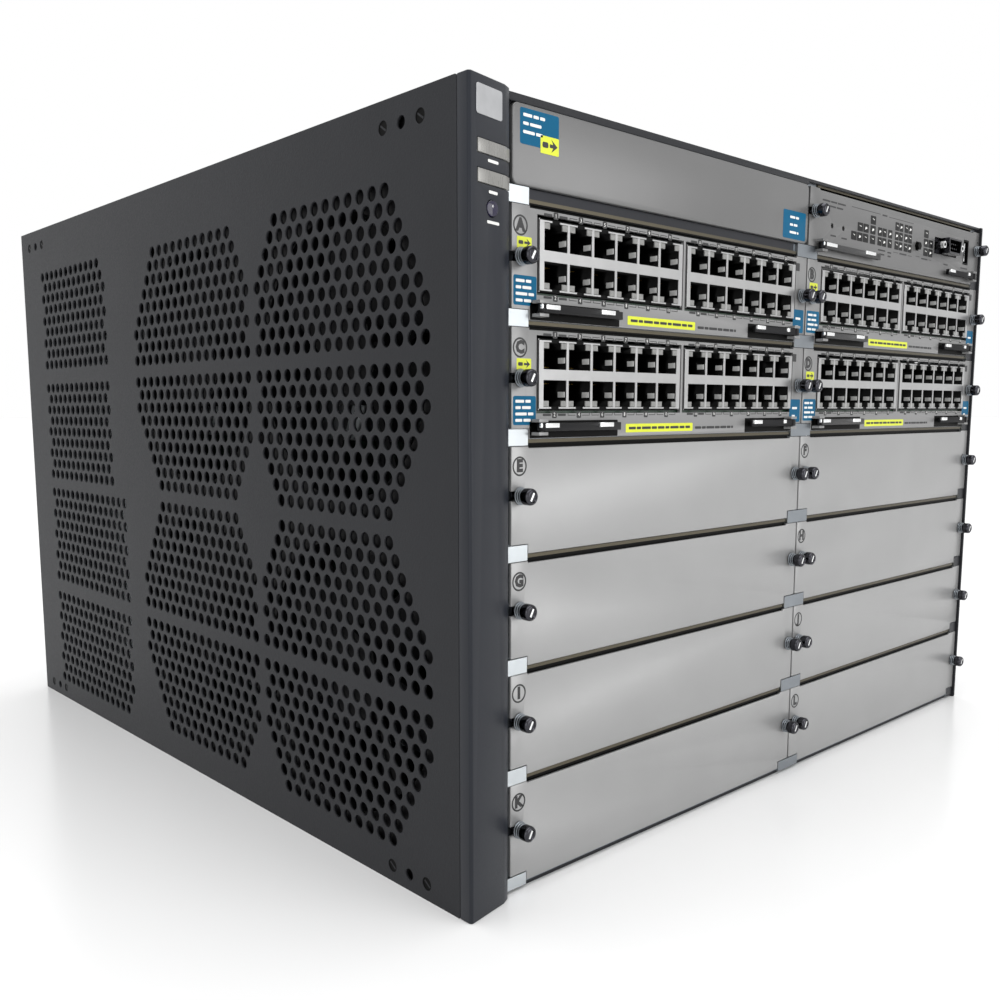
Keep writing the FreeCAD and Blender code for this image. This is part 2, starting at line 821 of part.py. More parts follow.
def save_module(name, column, row, plate, board):
    """Write the pieces that every plug-in module has."""
    save(name + "_faceplate", [plate])
    save(name + "_board", [board])
    save(name + "_lever_left", [lever(column, row, True)])
    save(name + "_lever_right", [lever(column, row, False)])
    for side, x in zip(("left", "right"), screw_xs(column)):
        save(name + "_screw_" + side, [captive_screw(x, slot_screw_z(row))])


# ---- management module
def console_socket():
    """The console socket: a flange behind the plate and a shell that stands out in front."""
    x = column_x[1] + plate_width - console_end
    z = z_header + port_z
    half_w, half_h = console_width / 2, console_height / 2
    low = board_top(-1) + jack_lift
    body = box(x - half_w, x + half_w, y_back + seat_gap, y_back + 4 * sheet, low, z + half_h)
    shell_w, shell_h = console_shell / 2, console_shell_height / 2
    lean = console_lean
    outline = [(x - shell_w, z + shell_h), (x + shell_w, z + shell_h),
               (x + shell_w - lean, z - shell_h), (x - shell_w + lean, z - shell_h)]
    shell = prism_y(outline, y_face - console_proud, y_back + seat_gap)
    inner = [(x - shell_w + console_wall, z + shell_h - console_wall),
             (x + shell_w - console_wall, z + shell_h - console_wall),
             (x + shell_w - lean - console_wall, z - shell_h + console_wall),
             (x - shell_w + lean + console_wall, z - shell_h + console_wall)]
    cup = prism_y(inner, y_face - console_proud, y_face - console_proud + console_cup)
    posts = [prism_y(ring_points(x + way * console_post_set, z, console_post_radius, sides),
                     y_face - console_proud / 2, y_back + seat_gap) for way in (-1, 1)]
    return cut(join([body, shell] + posts), [cup])


def console_cutout():
    """The opening in the plate for the console socket's shell and screw posts."""
    x = column_x[1] + plate_width - console_end
    z = z_header + port_z
    half_h = console_shell_height / 2 + seat_gap
    return box(x - console_width / 2, x + console_width / 2, y_face, y_back, z - half_h, z + half_h)


def aux_span():
    """X and Z limits of the upright auxiliary socket."""
    x = column_x[1] + plate_width - aux_end
    z = z_header + port_z
    return x - aux_width / 2, x + aux_width / 2, z - aux_height / 2, z + aux_height / 2


def aux_socket():
    """The upright auxiliary socket, a thin-walled cup on the board."""
    x0, x1, z0, z1 = aux_span()
    shell = box(x0, x1, y_face, y_face + aux_cup + 2 * aux_wall, z0, z1)
    cup = box(x0 + aux_wall, x1 - aux_wall, y_face, y_face + aux_cup, z0 + aux_wall, z1 - aux_wall)
    foot = box(x0, x1, y_face + board_front, y_face + aux_cup + 2 * aux_wall, board_top(-1) + jack_lift, z0)
    return cut(join([shell, foot]), [cup])


def management_plate():
    """The management plate with its socket cut-outs, button holes and lever lugs."""
    x0, x1, z0, z1 = aux_span()
    z = z_header + select_z
    tools = [console_cutout(),
             box(x0 - button_gap, x1 + button_gap, y_face, y_back, z0 - button_gap, z1 + button_gap)]
    for x, radius in button_places():
        tools.append(prism_y(bore_points(x, z, radius + button_gap, sides), y_face, y_back))
    return join([cut(plate_blank(1, -1), tools)] + lever_lugs(1, -1))


def button_places():
    """X place and radius of the two pin buttons and the select button."""
    pins = [(column_x[1] + x, pin_button_radius) for x in pin_button_xs]
    return pins + [(column_x[1] + plate_width - select_end, select_radius)]


def button(x, radius, proud):
    """A push button: its stem in the plate's hole and a collar behind the plate."""
    z = z_header + select_z
    stem = prism_y(ring_points(x, z, radius, sides), y_face - proud, y_back + button_body)
    collar_front = y_back + seat_gap / 2
    collar = prism_y(ring_points(x, z, radius + button_collar, sides), collar_front, collar_front + sheet)
    return join([stem, collar])


# ---- fan tray
def tray_limits():
    """X and Z limits of the fan tray in its plenum."""
    return (x_in_left + flange_sheet + tray_gap, cage_x - tray_gap, sheet + seat_gap, z_cover - seat_gap)


def fan_centres():
    """Y and Z place of each fan."""
    return [(y, z) for z in fan_zs() for y in fan_ys()]


def fan_motor(y, z, x1):
    """The motor base, shaft and struts of one fan."""
    x0 = tray_limits()[0]
    base = prism_x(ring_points(y, z, hub_radius, 2 * sides), x1 - hub_base, x1)
    shaft = prism_x(ring_points(y, z, shaft_radius, sides), x0 + 2 * hub_base, x1)
    half = hub_base
    arm = box(x1 - hub_base, x1, y - half, y + half, z, z + fan_bore / 2 + seat_gap)
    centre = FreeCAD.Vector(0, y, z)
    arms = []
    for i in range(strut_count):
        copy = arm.copy()
        copy.rotate(centre, FreeCAD.Vector(1, 0, 0), strut_turn + i * 360.0 / strut_count)
        arms.append(copy)
    return [base, shaft] + arms


def fan_wall():
    """The tray's wall of four round fan openings, with the motors in them."""
    x0, x1, z0, z1 = tray_limits()
    tools = [prism_x(bore_points(y, z, fan_bore / 2, bore_sides), x0, x1) for y, z in fan_centres()]
    pieces = [cut(box(x0, x1, y_face + tray_front, tray_bay_front(), z0, z1), tools)]
    for y, z in fan_centres():
        pieces += fan_motor(y, z, x1)
    return join(pieces)


def tray_bay_front():
    """Depth at which the tray's fan wall ends and its open bay begins."""
    return fan_ys()[1] + fan_bore / 2 + fan_web_y


def tray_back():
    """Depth of the front of the tray's flange."""
    return y_rear + seat_gap


def tray_bay():
    """The frame round the tray's open rear bay, with the flange behind it."""
    x0, x1, z0, z1 = tray_limits()
    body = box(x0, x1, tray_bay_front(), tray_back(), z0, z1)
    opening = box(x0, x1, tray_bay_front(), y_rear - window_margin, z0 + fan_web_z, z1 - fan_web_z)
    flange = box(x_in_left + seat_gap, cage_wall + wall_gap, tray_back(), tray_back() + tray_flange, z0, z1)
    return join([cut(body, [opening]), flange])


def tray_pull():
    """The bow on the flange that draws the tray out."""
    x0, x1, z0, z1 = tray_limits()
    middle = (x0 + x1) / 2
    half = handle_bar / 2
    low = (z0 + z1) / 2 - pull_half
    high = (z0 + z1) / 2 + pull_half
    front = tray_back() + tray_flange
    reach = front + handle_reach
    bow = box(middle - half, middle + half, front, reach, low, high)
    grip = box(middle - half, middle + half, front, reach - handle_bar, low + handle_bar, high - handle_bar)
    return cut(bow, [grip])


def fan_rotor(y, z):
    """A rotor: hub on the shaft and tilted blades."""
    x0, x1 = tray_limits()[:2]
    hub_x0 = x0 + hub_base
    hub_x1 = x1 - hub_base - seat_gap
    hub = prism_x(ring_points(y, z, hub_radius, blade_count), hub_x0, hub_x1)
    blade_root = hub_radius * math.cos(math.pi / blade_count) - blade_sheet
    tip = math.sqrt((fan_bore / 2 - fan_tip_gap) ** 2 - (blade_chord / 2) ** 2)
    middle = (hub_x0 + hub_x1) / 2
    blade = box(middle - blade_sheet / 2, middle + blade_sheet / 2, y - blade_chord / 2, y + blade_chord / 2,
                z + blade_root, z + tip)
    blade.rotate(FreeCAD.Vector(middle, y, z), FreeCAD.Vector(0, 0, 1), 90.0 - blade_tilt)
    pieces = [hub]
    for i in range(blade_count):
        copy = blade.copy()
        copy.rotate(FreeCAD.Vector(middle, y, z), FreeCAD.Vector(1, 0, 0), i * 360.0 / blade_count)
        pieces.append(copy)
    bore = prism_x(bore_points(y, z, shaft_radius + turn_gap, sides), hub_x0 + hub_base, hub_x1)
    return cut(join(pieces), [bore])


# ---- backplane and power supplies
def backplane_board():
    """The backplane with a socket for each slot."""
    board = box(cage_wall + seat_gap, right_wall_span()[1], y_backplane, y_backplane + backplane_sheet,
                rail_top(slot_rows) - rail_height + 2 * sheet, z_cover - 2 * sheet)
    sockets = []
    for row, column in [(r, c) for r in range(slot_rows) for c in (0, 1)] + [(-1, 1)]:
        x0, x1 = plug_spans(column)
        low = board_underside(row)
        sockets.append(box(x0, x1, y_backplane - socket_depth, y_backplane, low, low + plug_height))
    return join([board] + sockets)


def power_supply(x, z):
    """A plug-in supply: a hollow case with a flange, air slots, a mains inlet and a handle."""
    x1, z1 = x + psu_width, z + psu_height
    y0 = y_rear - psu_depth + seat_gap
    back = y_rear + seat_gap
    case = box(x, x1, y0, back, z, z1)
    hollow = box(x + psu_wall, x1 - psu_wall, y0 + psu_wall, back - psu_wall + sheet, z + psu_wall, z1 - psu_wall)
    flange = box(x - psu_flange, x1 + psu_flange, back, back + sheet, z, z1 + psu_flange)
    inlet_x = x + inlet_set
    inlet_z = z + inlet_lift
    well = box(inlet_x - psu_wall, inlet_x + inlet_width + psu_wall, back - inlet_depth - psu_wall, back,
               inlet_z - psu_wall, inlet_z + inlet_height + psu_wall)
    inlet = box(inlet_x, inlet_x + inlet_width, back - inlet_depth, back + sheet,
                inlet_z, inlet_z + inlet_height)
    slots = []
    slot_x = x1 - air_slot_inset
    for i in range(air_slot_count):
        slot_z = z + air_slot_lift + i * air_slot_pitch
        slots.append(box(slot_x - air_slot_width, slot_x, back - psu_wall, back + sheet,
                         slot_z, slot_z + air_slot_height))
    grip_x = x + handle_set
    reach = back + sheet + handle_reach
    low, high = z + handle_margin, z1 - handle_margin
    bail = box(grip_x, grip_x + handle_bar, back + sheet, reach, low, high)
    hand = box(grip_x, grip_x + handle_bar, back + sheet, reach - handle_bar,
               low + handle_bar, high - handle_bar)
    shell = join([cut(case, [hollow]), well, flange])
    return cut(join([shell, cut(bail, [hand])]), [inlet] + slots)


# ---- build every node
save("base_pan", [base_pan()])
save("top_cover", [top_cover()])
save("left_side_panel", [side_panel(x_left, x_in_left, hex_vents)])
save("right_side_panel", [side_panel(x_in_right, x_right, slot_vents)])
save("rear_panel", [rear_panel()])
save("front_bezel", [front_bezel()])
save("card_cage", [card_cage()])
save("rail_gaskets", rail_gaskets())
save("backplane_board", [backplane_board()])
save("nameplate_panel", [name_plate()])
save("status_lights", status_lights())

blank_slots = [(column, row) for row in range(2, slot_rows) for column in (0, 1)]
save("blank_plates", [plate_blank(column, row) for column, row in blank_slots])
blank_screws = [captive_screw(x, slot_screw_z(row)) for column, row in blank_slots for x in screw_xs(column)]
save("blank_plate_screws", blank_screws)

for letter, column, row in (("a", 0, 0), ("b", 1, 0), ("c", 0, 1), ("d", 1, 1)):
    name = "module_" + letter
    sinks = heat_sink(column, row, sink_set, sink_size, sink_height)
    save_module(name, column, row, port_plate(column, row), circuit_board(column, row, sinks))
    save(name + "_jack_block", jack_block(column, row))

mgmt_sink = heat_sink(1, -1, small_sink_set, small_sink_size, small_sink_height)
save_module("management", 1, -1, management_plate(), circuit_board(1, -1, mgmt_sink))
save("management_sockets", [console_socket(), aux_socket()])
button_names = ("reset_button", "clear_button", "select_button")
for name, (x, radius) in zip(button_names, button_places()):
    save(name, [button(x, radius, select_proud if radius > pin_button_radius else 0.0)])

save("fan_tray_frame", [fan_wall(), tray_bay(), tray_pull()])
for i, (y, z) in enumerate(fan_centres()):
    save("fan_rotor_%d" % (i + 1), [fan_rotor(y, z)])
for i, (x, z) in enumerate(psu_places()):
    save("power_supply_%d" % (i + 1), [power_supply(x, z)])
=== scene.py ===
"""Looks of a modular chassis switch: perforated case, port modules and what they carry."""

import json
import math

import bmesh
import bpy
from mathutils import Matrix, Vector


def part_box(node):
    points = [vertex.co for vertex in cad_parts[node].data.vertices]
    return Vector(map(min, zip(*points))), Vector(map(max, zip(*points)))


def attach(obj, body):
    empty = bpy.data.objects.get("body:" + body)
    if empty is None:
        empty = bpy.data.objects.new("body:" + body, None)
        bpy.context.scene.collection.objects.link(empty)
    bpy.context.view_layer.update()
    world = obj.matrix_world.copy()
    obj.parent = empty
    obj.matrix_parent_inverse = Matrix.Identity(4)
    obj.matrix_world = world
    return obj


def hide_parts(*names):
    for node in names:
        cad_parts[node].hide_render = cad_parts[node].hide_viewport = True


bl_info = {
    "name": "Modular chassis switch",
    "version": (1, 0, 0),
    "blender": (4, 5, 0),
    "location": "View3D > Sidebar > Chassis",
    "description": "Builds the looks of a rack chassis switch round its packed frame",
    "category": "Object",
}

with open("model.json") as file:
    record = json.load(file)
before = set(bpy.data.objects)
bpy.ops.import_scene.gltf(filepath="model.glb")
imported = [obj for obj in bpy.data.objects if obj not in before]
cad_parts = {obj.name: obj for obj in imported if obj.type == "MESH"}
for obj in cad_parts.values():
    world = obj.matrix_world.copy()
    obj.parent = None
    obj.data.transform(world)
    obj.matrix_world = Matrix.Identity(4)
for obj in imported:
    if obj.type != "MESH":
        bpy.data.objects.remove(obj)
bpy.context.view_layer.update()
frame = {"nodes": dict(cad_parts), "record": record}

MM = 0.001
TURN = 2 * math.pi
PRINT_LAYER = 0.05 * MM
LINE_DEPTH = 0.03 * MM
ROUNDED_ABOVE = math.radians(30)
SHARP_ABOVE = math.radians(35)

# ---- places read from the frame, in metres
PANEL_LOW, PANEL_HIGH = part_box("left_side_panel")
RIGHT_LOW, RIGHT_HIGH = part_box("right_side_panel")
FACE_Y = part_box("blank_plates")[0].y
PLATE_BACK_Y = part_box("blank_plates")[1].y
PLATE_LOW, PLATE_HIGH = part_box("module_a_faceplate")
COLUMN_X = (PLATE_LOW.x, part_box("module_b_faceplate")[0].x)
PLATE_WIDTH = PLATE_HIGH.x - PLATE_LOW.x
ROW_PITCH = PLATE_HIGH.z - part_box("module_c_faceplate")[1].z
NAME_LOW, NAME_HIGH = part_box("nameplate_panel")
BEZEL_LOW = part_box("front_bezel")[0]
FLANGE_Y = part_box("rear_panel")[1].y + 1.8 * MM
CASE_HEIGHT = PANEL_HIGH.z

PORT_MODULES = (("module_a", 0, 0), ("module_b", 1, 0), ("module_c", 0, 1), ("module_d", 1, 1))
PLUG_IN_MODULES = PORT_MODULES + (("management", 1, -1),)
SLOT_LETTERS = "ABCDEFGHIJKL"
SLOT_ROWS = len(SLOT_LETTERS) // 2

# ---- the column's front face slants back from its outer edge
SLANT_START = 7.9 * MM
SLANT_DROP = 3.8 * MM
SLANT_WIDTH = 20.5 * MM

# ---- the jack blocks' sheet metal and sockets
SHIELD_SKIN = 0.5 * MM
SHIELD_WALL = 0.3 * MM
SOCKET_DEPTH = 13.0 * MM
FIT = 0.1 * MM

# A flat outline in U and V is laid on the front, facing -Y, or on a side, facing X.
ONTO_FRONT = Matrix.Rotation(math.pi / 2, 4, "X")
ONTO_SIDE = Matrix(((0, 0, 1, 0), (1, 0, 0, 0), (0, 1, 0, 0), (0, 0, 0, 1)))


def to_linear(hex_colour):
    """Turns an sRGB hex colour, such as "2f3238", to linear red, green, blue and alpha."""
    channels = [int(hex_colour[i:i + 2], 16) / 255 for i in (0, 2, 4)]
    return tuple(c / 12.92 if c <= 0.04045 else ((c + 0.055) / 1.055) ** 2.4 for c in channels) + (1.0,)


def length(name, description, millimetres):
    """A length property with its default given in millimetres."""
    return bpy.props.FloatProperty(name=name, description=description, default=millimetres * MM,
                                   min=0.0, unit="LENGTH", precision=5)


def colour(name, description, hex_colour):
    """A colour property with its default given in sRGB hex."""
    return bpy.props.FloatVectorProperty(name=name, description=description, subtype="COLOR", size=4,
                                         min=0.0, max=1.0, default=to_linear(hex_colour))


# ---- what a user would change
class SwitchSizes(bpy.types.PropertyGroup):
    """Sizes of the switch's small pieces."""

    hole_radius: length("Hole radius", "Radius of a punched air hole", 3.0)
    hole_pitch: length("Hole pitch", "Distance between neighbouring air holes", 8.0)
    hole_sides: bpy.props.IntProperty(name="Hole sides", description="Corners of an air hole",
                                      default=16, min=6)
    bracket_radius: length("Bracket hole radius", "Radius of a rack bracket hole", 2.5)
    bracket_pitch: length("Bracket pitch", "From a bracket hole to the screws beside it", 11.15)
    case_screw: length("Case screw radius", "Radius of the screws beside a bracket hole", 2.8)
    fan_front: length("Fan front", "From the module faces to the middle of the first fan's holes", 76.7)
    fan_pitch: length("Fan pitch", "Between the two fans of a row", 130.4)
    fan_low: length("Lower fans", "Height of the middle of the lower fans", 79.5)
    fan_high: length("Upper fans", "Height of the middle of the upper fans", 213.7)
    lip_drop: length("Lip drop", "How far a plate's middle reaches below the rail's top", 3.6)
    rail_height: length("Rail height", "Height of a cross rail", 6.2)
    screw_inset: length("Screw inset", "From a plate's end to its screw", 4.4)
    screw_head: length("Screw head radius", "Radius of a captive screw's head", 3.3)
    jack_pitch: length("Jack pitch", "Between neighbouring jacks", 14.2)
    jack_width: length("Jack width", "Width of a jack's opening", 13.0)
    jack_inset: length("Jack inset", "From a block's end to its first jack's middle", 8.9)
    jack_band: length("Jack band", "Bright band between the upper and the lower jacks", 4.1)
    jack_height: length("Jack height", "Height of a jack's opening with its latch notch", 10.4)
    notch_width: length("Notch width", "Width of a jack's latch notch", 4.4)
    mark_size: length("Port mark size", "Side of a port number's dark square", 2.6)
    letter_radius: length("Letter radius", "Radius of the ring round a slot letter", 3.8)


class SwitchColours(bpy.types.PropertyGroup):
    """Colours of the switch's finishes."""

    case: colour("Case", "Powder coat of the case", "292a2d")
    bezel: colour("Bezel", "Moulded front column", "1e2128")
    plates: colour("Plates", "Satin paint of the port modules' plates", "868686")
    # Painted light: the blank plates are lighter, as the lower rows catch more light.
    blanks: colour("Blank plates", "Satin paint of the blank plates", "9c9c9c")
    # Painted shade: the name plate and the management module are darker, as the top row gets less light.
    name_plate: colour("Name plate", "Satin paint of the name plate and the management module", "6c6c6c")
    labels: colour("Labels", "Coloured labels", "045a7e")
    tags: colour("Tags", "Small bright tags", "d8e02c")
    shield: colour("Jack shields", "Bright tin on the jack blocks", "aeaeae")
    screws: colour("Screws", "Dark nickel of the captive screws", "3c3c40")
    contacts: colour("Contact strips", "Bronze strips between the plates", "544f43")
    floor: colour("Floor", "Pale studio floor", "fafafa")


def sizes():
    """The sizes in use."""
    return bpy.context.scene.switch_sizes


def colours():
    """The colours in use."""
    return bpy.context.scene.switch_colours


# ---- materials
def add_node(material, kind, sockets=None, **settings):
    """Adds a node with its settings; a socket takes either a value or another node's output."""
    tree = material.node_tree
    made = tree.nodes.new(kind)
    for name, value in settings.items():
        setattr(made, name, value)
    for name, value in (sockets or {}).items():
        if isinstance(value, bpy.types.NodeSocket):
            tree.links.new(value, made.inputs[name])
        else:
            made.inputs[name].default_value = value
    return made


def start_material(name, base, metallic, roughness, sheen=0.5):
    """A material with its shader's constant sockets set; sheen is how much light glances off it."""
    material = bpy.data.materials.new(name)
    material.use_nodes = True
    shader = material.node_tree.nodes["Principled BSDF"]
    shader.inputs["Base Color"].default_value = base
    shader.inputs["Metallic"].default_value = metallic
    shader.inputs["Roughness"].default_value = roughness
    shader.inputs["Specular IOR Level"].default_value = sheen
    return material, shader


def surface(name, base, metallic, roughness, grain, bump, mottle=0.0, spread=0.0, stretch=(1, 1, 1),
            broad=40.0, sheen=0.5):
    """A finish with grain in its relief and a broad change of tone, both sizes in millimetres.

    Many of the real finishes have a finer grain, which is drawn this coarse so that it shows.
    """
    material, shader = start_material(name, base, metallic, roughness, sheen)
    link = material.node_tree.links.new
    place = add_node(material, "ShaderNodeTexCoord").outputs["Object"]
    drawn = add_node(material, "ShaderNodeMapping", {"Vector": place, "Scale": stretch})
    fine = add_node(material, "ShaderNodeTexNoise",
                    {"Vector": drawn.outputs["Vector"], "Scale": 1 / (grain * MM), "Detail": 3.0})
    wide = add_node(material, "ShaderNodeTexNoise",
                    {"Vector": drawn.outputs["Vector"], "Scale": 1 / (broad * MM), "Detail": 2.0})
    if bump:
        relief = add_node(material, "ShaderNodeBump",
                          {"Height": fine.outputs["Fac"], "Strength": bump, "Distance": grain * MM * 0.2})
        link(relief.outputs["Normal"], shader.inputs["Normal"])
    if mottle:
        tone = add_node(material, "ShaderNodeValToRGB", {"Fac": wide.outputs["Fac"]})
        darker, lighter = tone.color_ramp.elements
        darker.position = 0.3
        darker.color = tuple(c * (1 - mottle) for c in base[:3]) + (1.0,)
        lighter.position = 0.7
        lighter.color = tuple(min(1.0, c * (1 + mottle)) for c in base[:3]) + (1.0,)
        link(tone.outputs["Color"], shader.inputs["Base Color"])
    if spread:
        rough = add_node(material, "ShaderNodeMapRange",
                         {"Value": fine.outputs["Fac"], "From Min": 0.3, "From Max": 0.7,
                          "To Min": roughness - spread, "To Max": roughness + spread})
        link(rough.outputs["Result"], shader.inputs["Roughness"])
    return material


def finish(name):
    """The material of that name, made the first time it is asked for."""
    if name not in bpy.data.materials:
        FINISHES[name]()
    return bpy.data.materials[name]


def powder_coat():
    """Polyester powder coat baked on folded steel: charcoal, dull, with a fine orange peel."""
    surface("powder_coat", colours().case, 0.0, 0.45, grain=0.9, bump=0.35, mottle=0.05,
            spread=0.05, sheen=0.16)


def moulded_abs():
    """ABS with a spark-eroded texture: dark blue-grey with a low, even sheen."""
    surface("moulded_abs", colours().bezel, 0.0, 0.36, grain=0.5, bump=0.25, mottle=0.04,
            spread=0.05, sheen=0.25)


def satin_paint():
    """Satin metallic paint on pressed steel: mid grey, smooth, with a soft broad sheen."""
    surface("satin_paint", colours().plates, 0.35, 0.36, grain=0.35, bump=0.12, mottle=0.03, spread=0.04)


def blank_paint():
    """The same satin paint on the blank plates, painted lighter as painted light on the lower rows."""
    surface("blank_paint", colours().blanks, 0.35, 0.36, grain=0.35, bump=0.12, mottle=0.03, spread=0.04)


def dark_satin():
    """The same satin paint painted darker on the top row as painted shade, with the same soft broad sheen."""
    surface("dark_satin", colours().name_plate, 0.35, 0.36, grain=0.35, bump=0.12, mottle=0.03, spread=0.04)


def zinc_plate():
    """Clear zinc plate on steel: bright and slightly blue, with a faint spangle."""
    surface("zinc_plate", to_linear("bcc1c4"), 1.0, 0.3, grain=0.6, bump=0.0, mottle=0.04, broad=9.0)


def dull_zinc():
    """Zinc plate painted mid grey and slightly blue: painted shade on the cage's fronts and inner tabs, and
    the real tone of the captive screws' coils.
    """
    surface("dull_zinc", to_linear("84898e"), 1.0, 0.34, grain=0.6, bump=0.0, mottle=0.05,
            spread=0.03, broad=9.0)


def passivated_zinc():
    """Zinc plate painted dark grey with a dull gleam as painted shade: on the right tabs, the cage's side
    that faces the fans and the rail under the name plate.
    """
    surface("passivated_zinc", to_linear("2a2b2f"), 0.7, 0.42, grain=0.6, bump=0.0, mottle=0.05, spread=0.03,
            broad=9.0)


def plated_steel():
    """Brushed and plated steel of the rear: grey metal with drawn lines along its width."""
    surface("plated_steel", to_linear("b4b6b9"), 0.9, 0.36, grain=0.6, bump=0.12, mottle=0.04, spread=0.07,
            stretch=(0.04, 1, 1))


def bare_bronze():
    """Phosphor bronze left bare: dull brown metal with a drawn grain along the strip."""
    surface("bare_bronze", colours().contacts, 0.85, 0.4, grain=0.4, bump=0.15, mottle=0.1, spread=0.08,
            stretch=(0.1, 1, 1), broad=14.0)


def tin_shield():
    """Bright tin on thin brass sheet: near white metal, smooth, with faint clouding."""
    surface("tin_shield", colours().shield, 0.75, 0.28, grain=0.5, bump=0.0, mottle=0.04, broad=7.0)


def dark_nickel():
    """Black nickel over turned steel: dark metal with sharp highlights."""
    surface("dark_nickel", colours().screws, 1.0, 0.15, grain=0.3, bump=0.06, mottle=0.08,
            spread=0.06, broad=3.0)


def black_oxide():
    """Black oxide on steel wire: nearly black with a thin metal gleam."""
    surface("black_oxide", to_linear("141416"), 0.8, 0.34, grain=0.4, bump=0.05, mottle=0.1,
            spread=0.06, broad=5.0)


def worn_bright():
    """Bright nickel where a lever is gripped: polished metal with hair scratches. It is also a painted glint
    across the captive screws' heads.
    """
    surface("worn_bright", to_linear("eceded"), 0.9, 0.22, grain=0.3, bump=0.06, mottle=0.03, spread=0.05,
            stretch=(0.15, 1, 1), broad=6.0)


def glass_epoxy():
    """Green solder mask on glass and epoxy sheet: glossy with the weave showing faintly."""
    surface("glass_epoxy", to_linear("123622"), 0.0, 0.3, grain=0.6, bump=0.1, mottle=0.08,
            spread=0.04, broad=5.0)


def filled_nylon():
    """Glass-filled nylon of the fan tray: black and dull with a fine flow texture."""
    surface("filled_nylon", to_linear("0d0d0f"), 0.0, 0.55, grain=0.6, bump=0.2, mottle=0.08,
            spread=0.06, sheen=0.2)


def housing_black():
    """Black moulded PBT inside the sockets: deep black and nearly matt. It is also painted shade in gaps,
    screw slots and holes.
    """
    surface("housing_black", to_linear("020202"), 0.0, 0.5, grain=0.4, bump=0.1, mottle=0.1, sheen=0.08)


def smoked_lens():
    """Smoked acrylic over a light: black with a wet gloss."""
    surface("smoked_lens", to_linear("060607"), 0.0, 0.3, grain=0.5, bump=0.0, mottle=0.1,
            spread=0.03, sheen=0.15)


def frosted_lens():
    """Frosted clear window of a jack light: grey with a soft gloss."""
    surface("frosted_lens", to_linear("858583"), 0.0, 0.3, grain=0.3, bump=0.08, mottle=0.15,
            spread=0.05, broad=1.5)


def light_guide():
    """Translucent silver acrylic of the status lights: pale, with a brushed look across."""
    surface("light_guide", to_linear("8f8e8b"), 0.4, 0.3, grain=0.7, bump=0.1, mottle=0.12, spread=0.06,
            stretch=(1, 1, 0.15), broad=9.0)


def locator_glass():
    """Dark violet acrylic of the locator lens: glossy and almost black."""
    surface("locator_glass", to_linear("1b1633"), 0.0, 0.12, grain=0.5, bump=0.03, mottle=0.2,
            spread=0.03, broad=2.0)


def spring_nickel():
    """Nickel side springs of the jacks, painted pale and matt as painted light for their gleam inside the
    dark sockets.
    """
    surface("spring_nickel", to_linear("e4e4e2"), 0.2, 0.5, grain=0.3, bump=0.0, mottle=0.06,
            spread=0.04, broad=1.5)


def contact_gold():
    """Thin gold over nickel on the socket contacts: warm bright metal."""
    surface("contact_gold", to_linear("a88a45"), 1.0, 0.3, grain=0.3, bump=0.05, mottle=0.08, broad=2.0)


def white_ink():
    """White screen ink: flat, slightly chalky. It is also the painted highlight on the locator lens."""
    surface("white_ink", to_linear("e9e9e6"), 0.0, 0.5, grain=0.25, bump=0.08, mottle=0.03, broad=3.0)


def black_ink():
    """Black screen ink: flat with a slight sheen."""
    surface("black_ink", to_linear("101012"), 0.0, 0.42, grain=0.25, bump=0.08, mottle=0.1, broad=3.0)


def label_vinyl():
    """Coloured polyester label: even tone under a satin laminate."""
    surface("label_vinyl", colours().labels, 0.0, 0.4, grain=0.5, bump=0.05, mottle=0.04,
            broad=8.0, sheen=0.12)


def tag_vinyl():
    """Small bright polyester tag under a satin laminate."""
    surface("tag_vinyl", colours().tags, 0.0, 0.33, grain=0.5, bump=0.05, mottle=0.04, spread=0.04, broad=8.0)


def badge_silver():
    """Anodised aluminium of the bare badge plate: pale satin metal."""
    surface("badge_silver", to_linear("b4b5b7"), 0.8, 0.3, grain=0.3, bump=0.0, mottle=0.08, broad=8.0)


FINISHES = {make.__name__: make for make in (
    powder_coat, moulded_abs, satin_paint, blank_paint, dark_satin, zinc_plate, dull_zinc, passivated_zinc,
    plated_steel, bare_bronze, tin_shield, dark_nickel, black_oxide, worn_bright, glass_epoxy, filled_nylon,
    housing_black, smoked_lens, frosted_lens, light_guide, locator_glass, spring_nickel, contact_gold,
    white_ink, black_ink, label_vinyl, tag_vinyl, badge_silver)}


# ---- shapes
def add_block(shape, low, high, material=0):
    """Adds a block between two corners."""
    low, high = Vector(low), Vector(high)
    place = Matrix.Translation((low + high) / 2) @ Matrix.Diagonal((*(high - low), 1))
    made = bmesh.ops.create_cube(shape, size=1.0, matrix=place)
    paint(made["verts"], material)
    return made["verts"]


def add_round(shape, centre, axis, radius, depth, sides=24, end_radius=None, material=0):
    """Adds a capped cylinder or cone whose middle is at centre."""
    turned = Vector((0, 0, 1)).rotation_difference(Vector(axis)).to_matrix().to_4x4()
    made = bmesh.ops.create_cone(shape, cap_ends=True, segments=sides, radius1=radius,
                                 radius2=radius if end_radius is None else end_radius, depth=depth,
                                 matrix=Matrix.Translation(centre) @ turned)
    paint(made["verts"], material)
    return made["verts"]


def paint(verts, material):
    """Gives the faces of the vertices a material slot."""
    for face in {face for vert in verts for face in vert.link_faces}:
        face.material_index = material


def soften(shape, verts, width, segments=1):
    """Rounds the sharp edges between the vertices."""
    chosen = set(verts)
    edges = [e for e in shape.edges if e.verts[0] in chosen and e.verts[1] in chosen
             and e.is_manifold and e.calc_face_angle() > ROUNDED_ABOVE]
    bmesh.ops.bevel(shape, geom=edges, offset=width, offset_type="OFFSET", segments=segments,
                    profile=0.5, affect="EDGES", material=-1, clamp_overlap=True)


def ring_points(u, v, radius, count, phase=0.0):
    """Corners of a regular polygon."""
    return [(u + radius * math.cos(TURN * i / count + phase), v + radius * math.sin(TURN * i / count + phase))
            for i in range(count)]


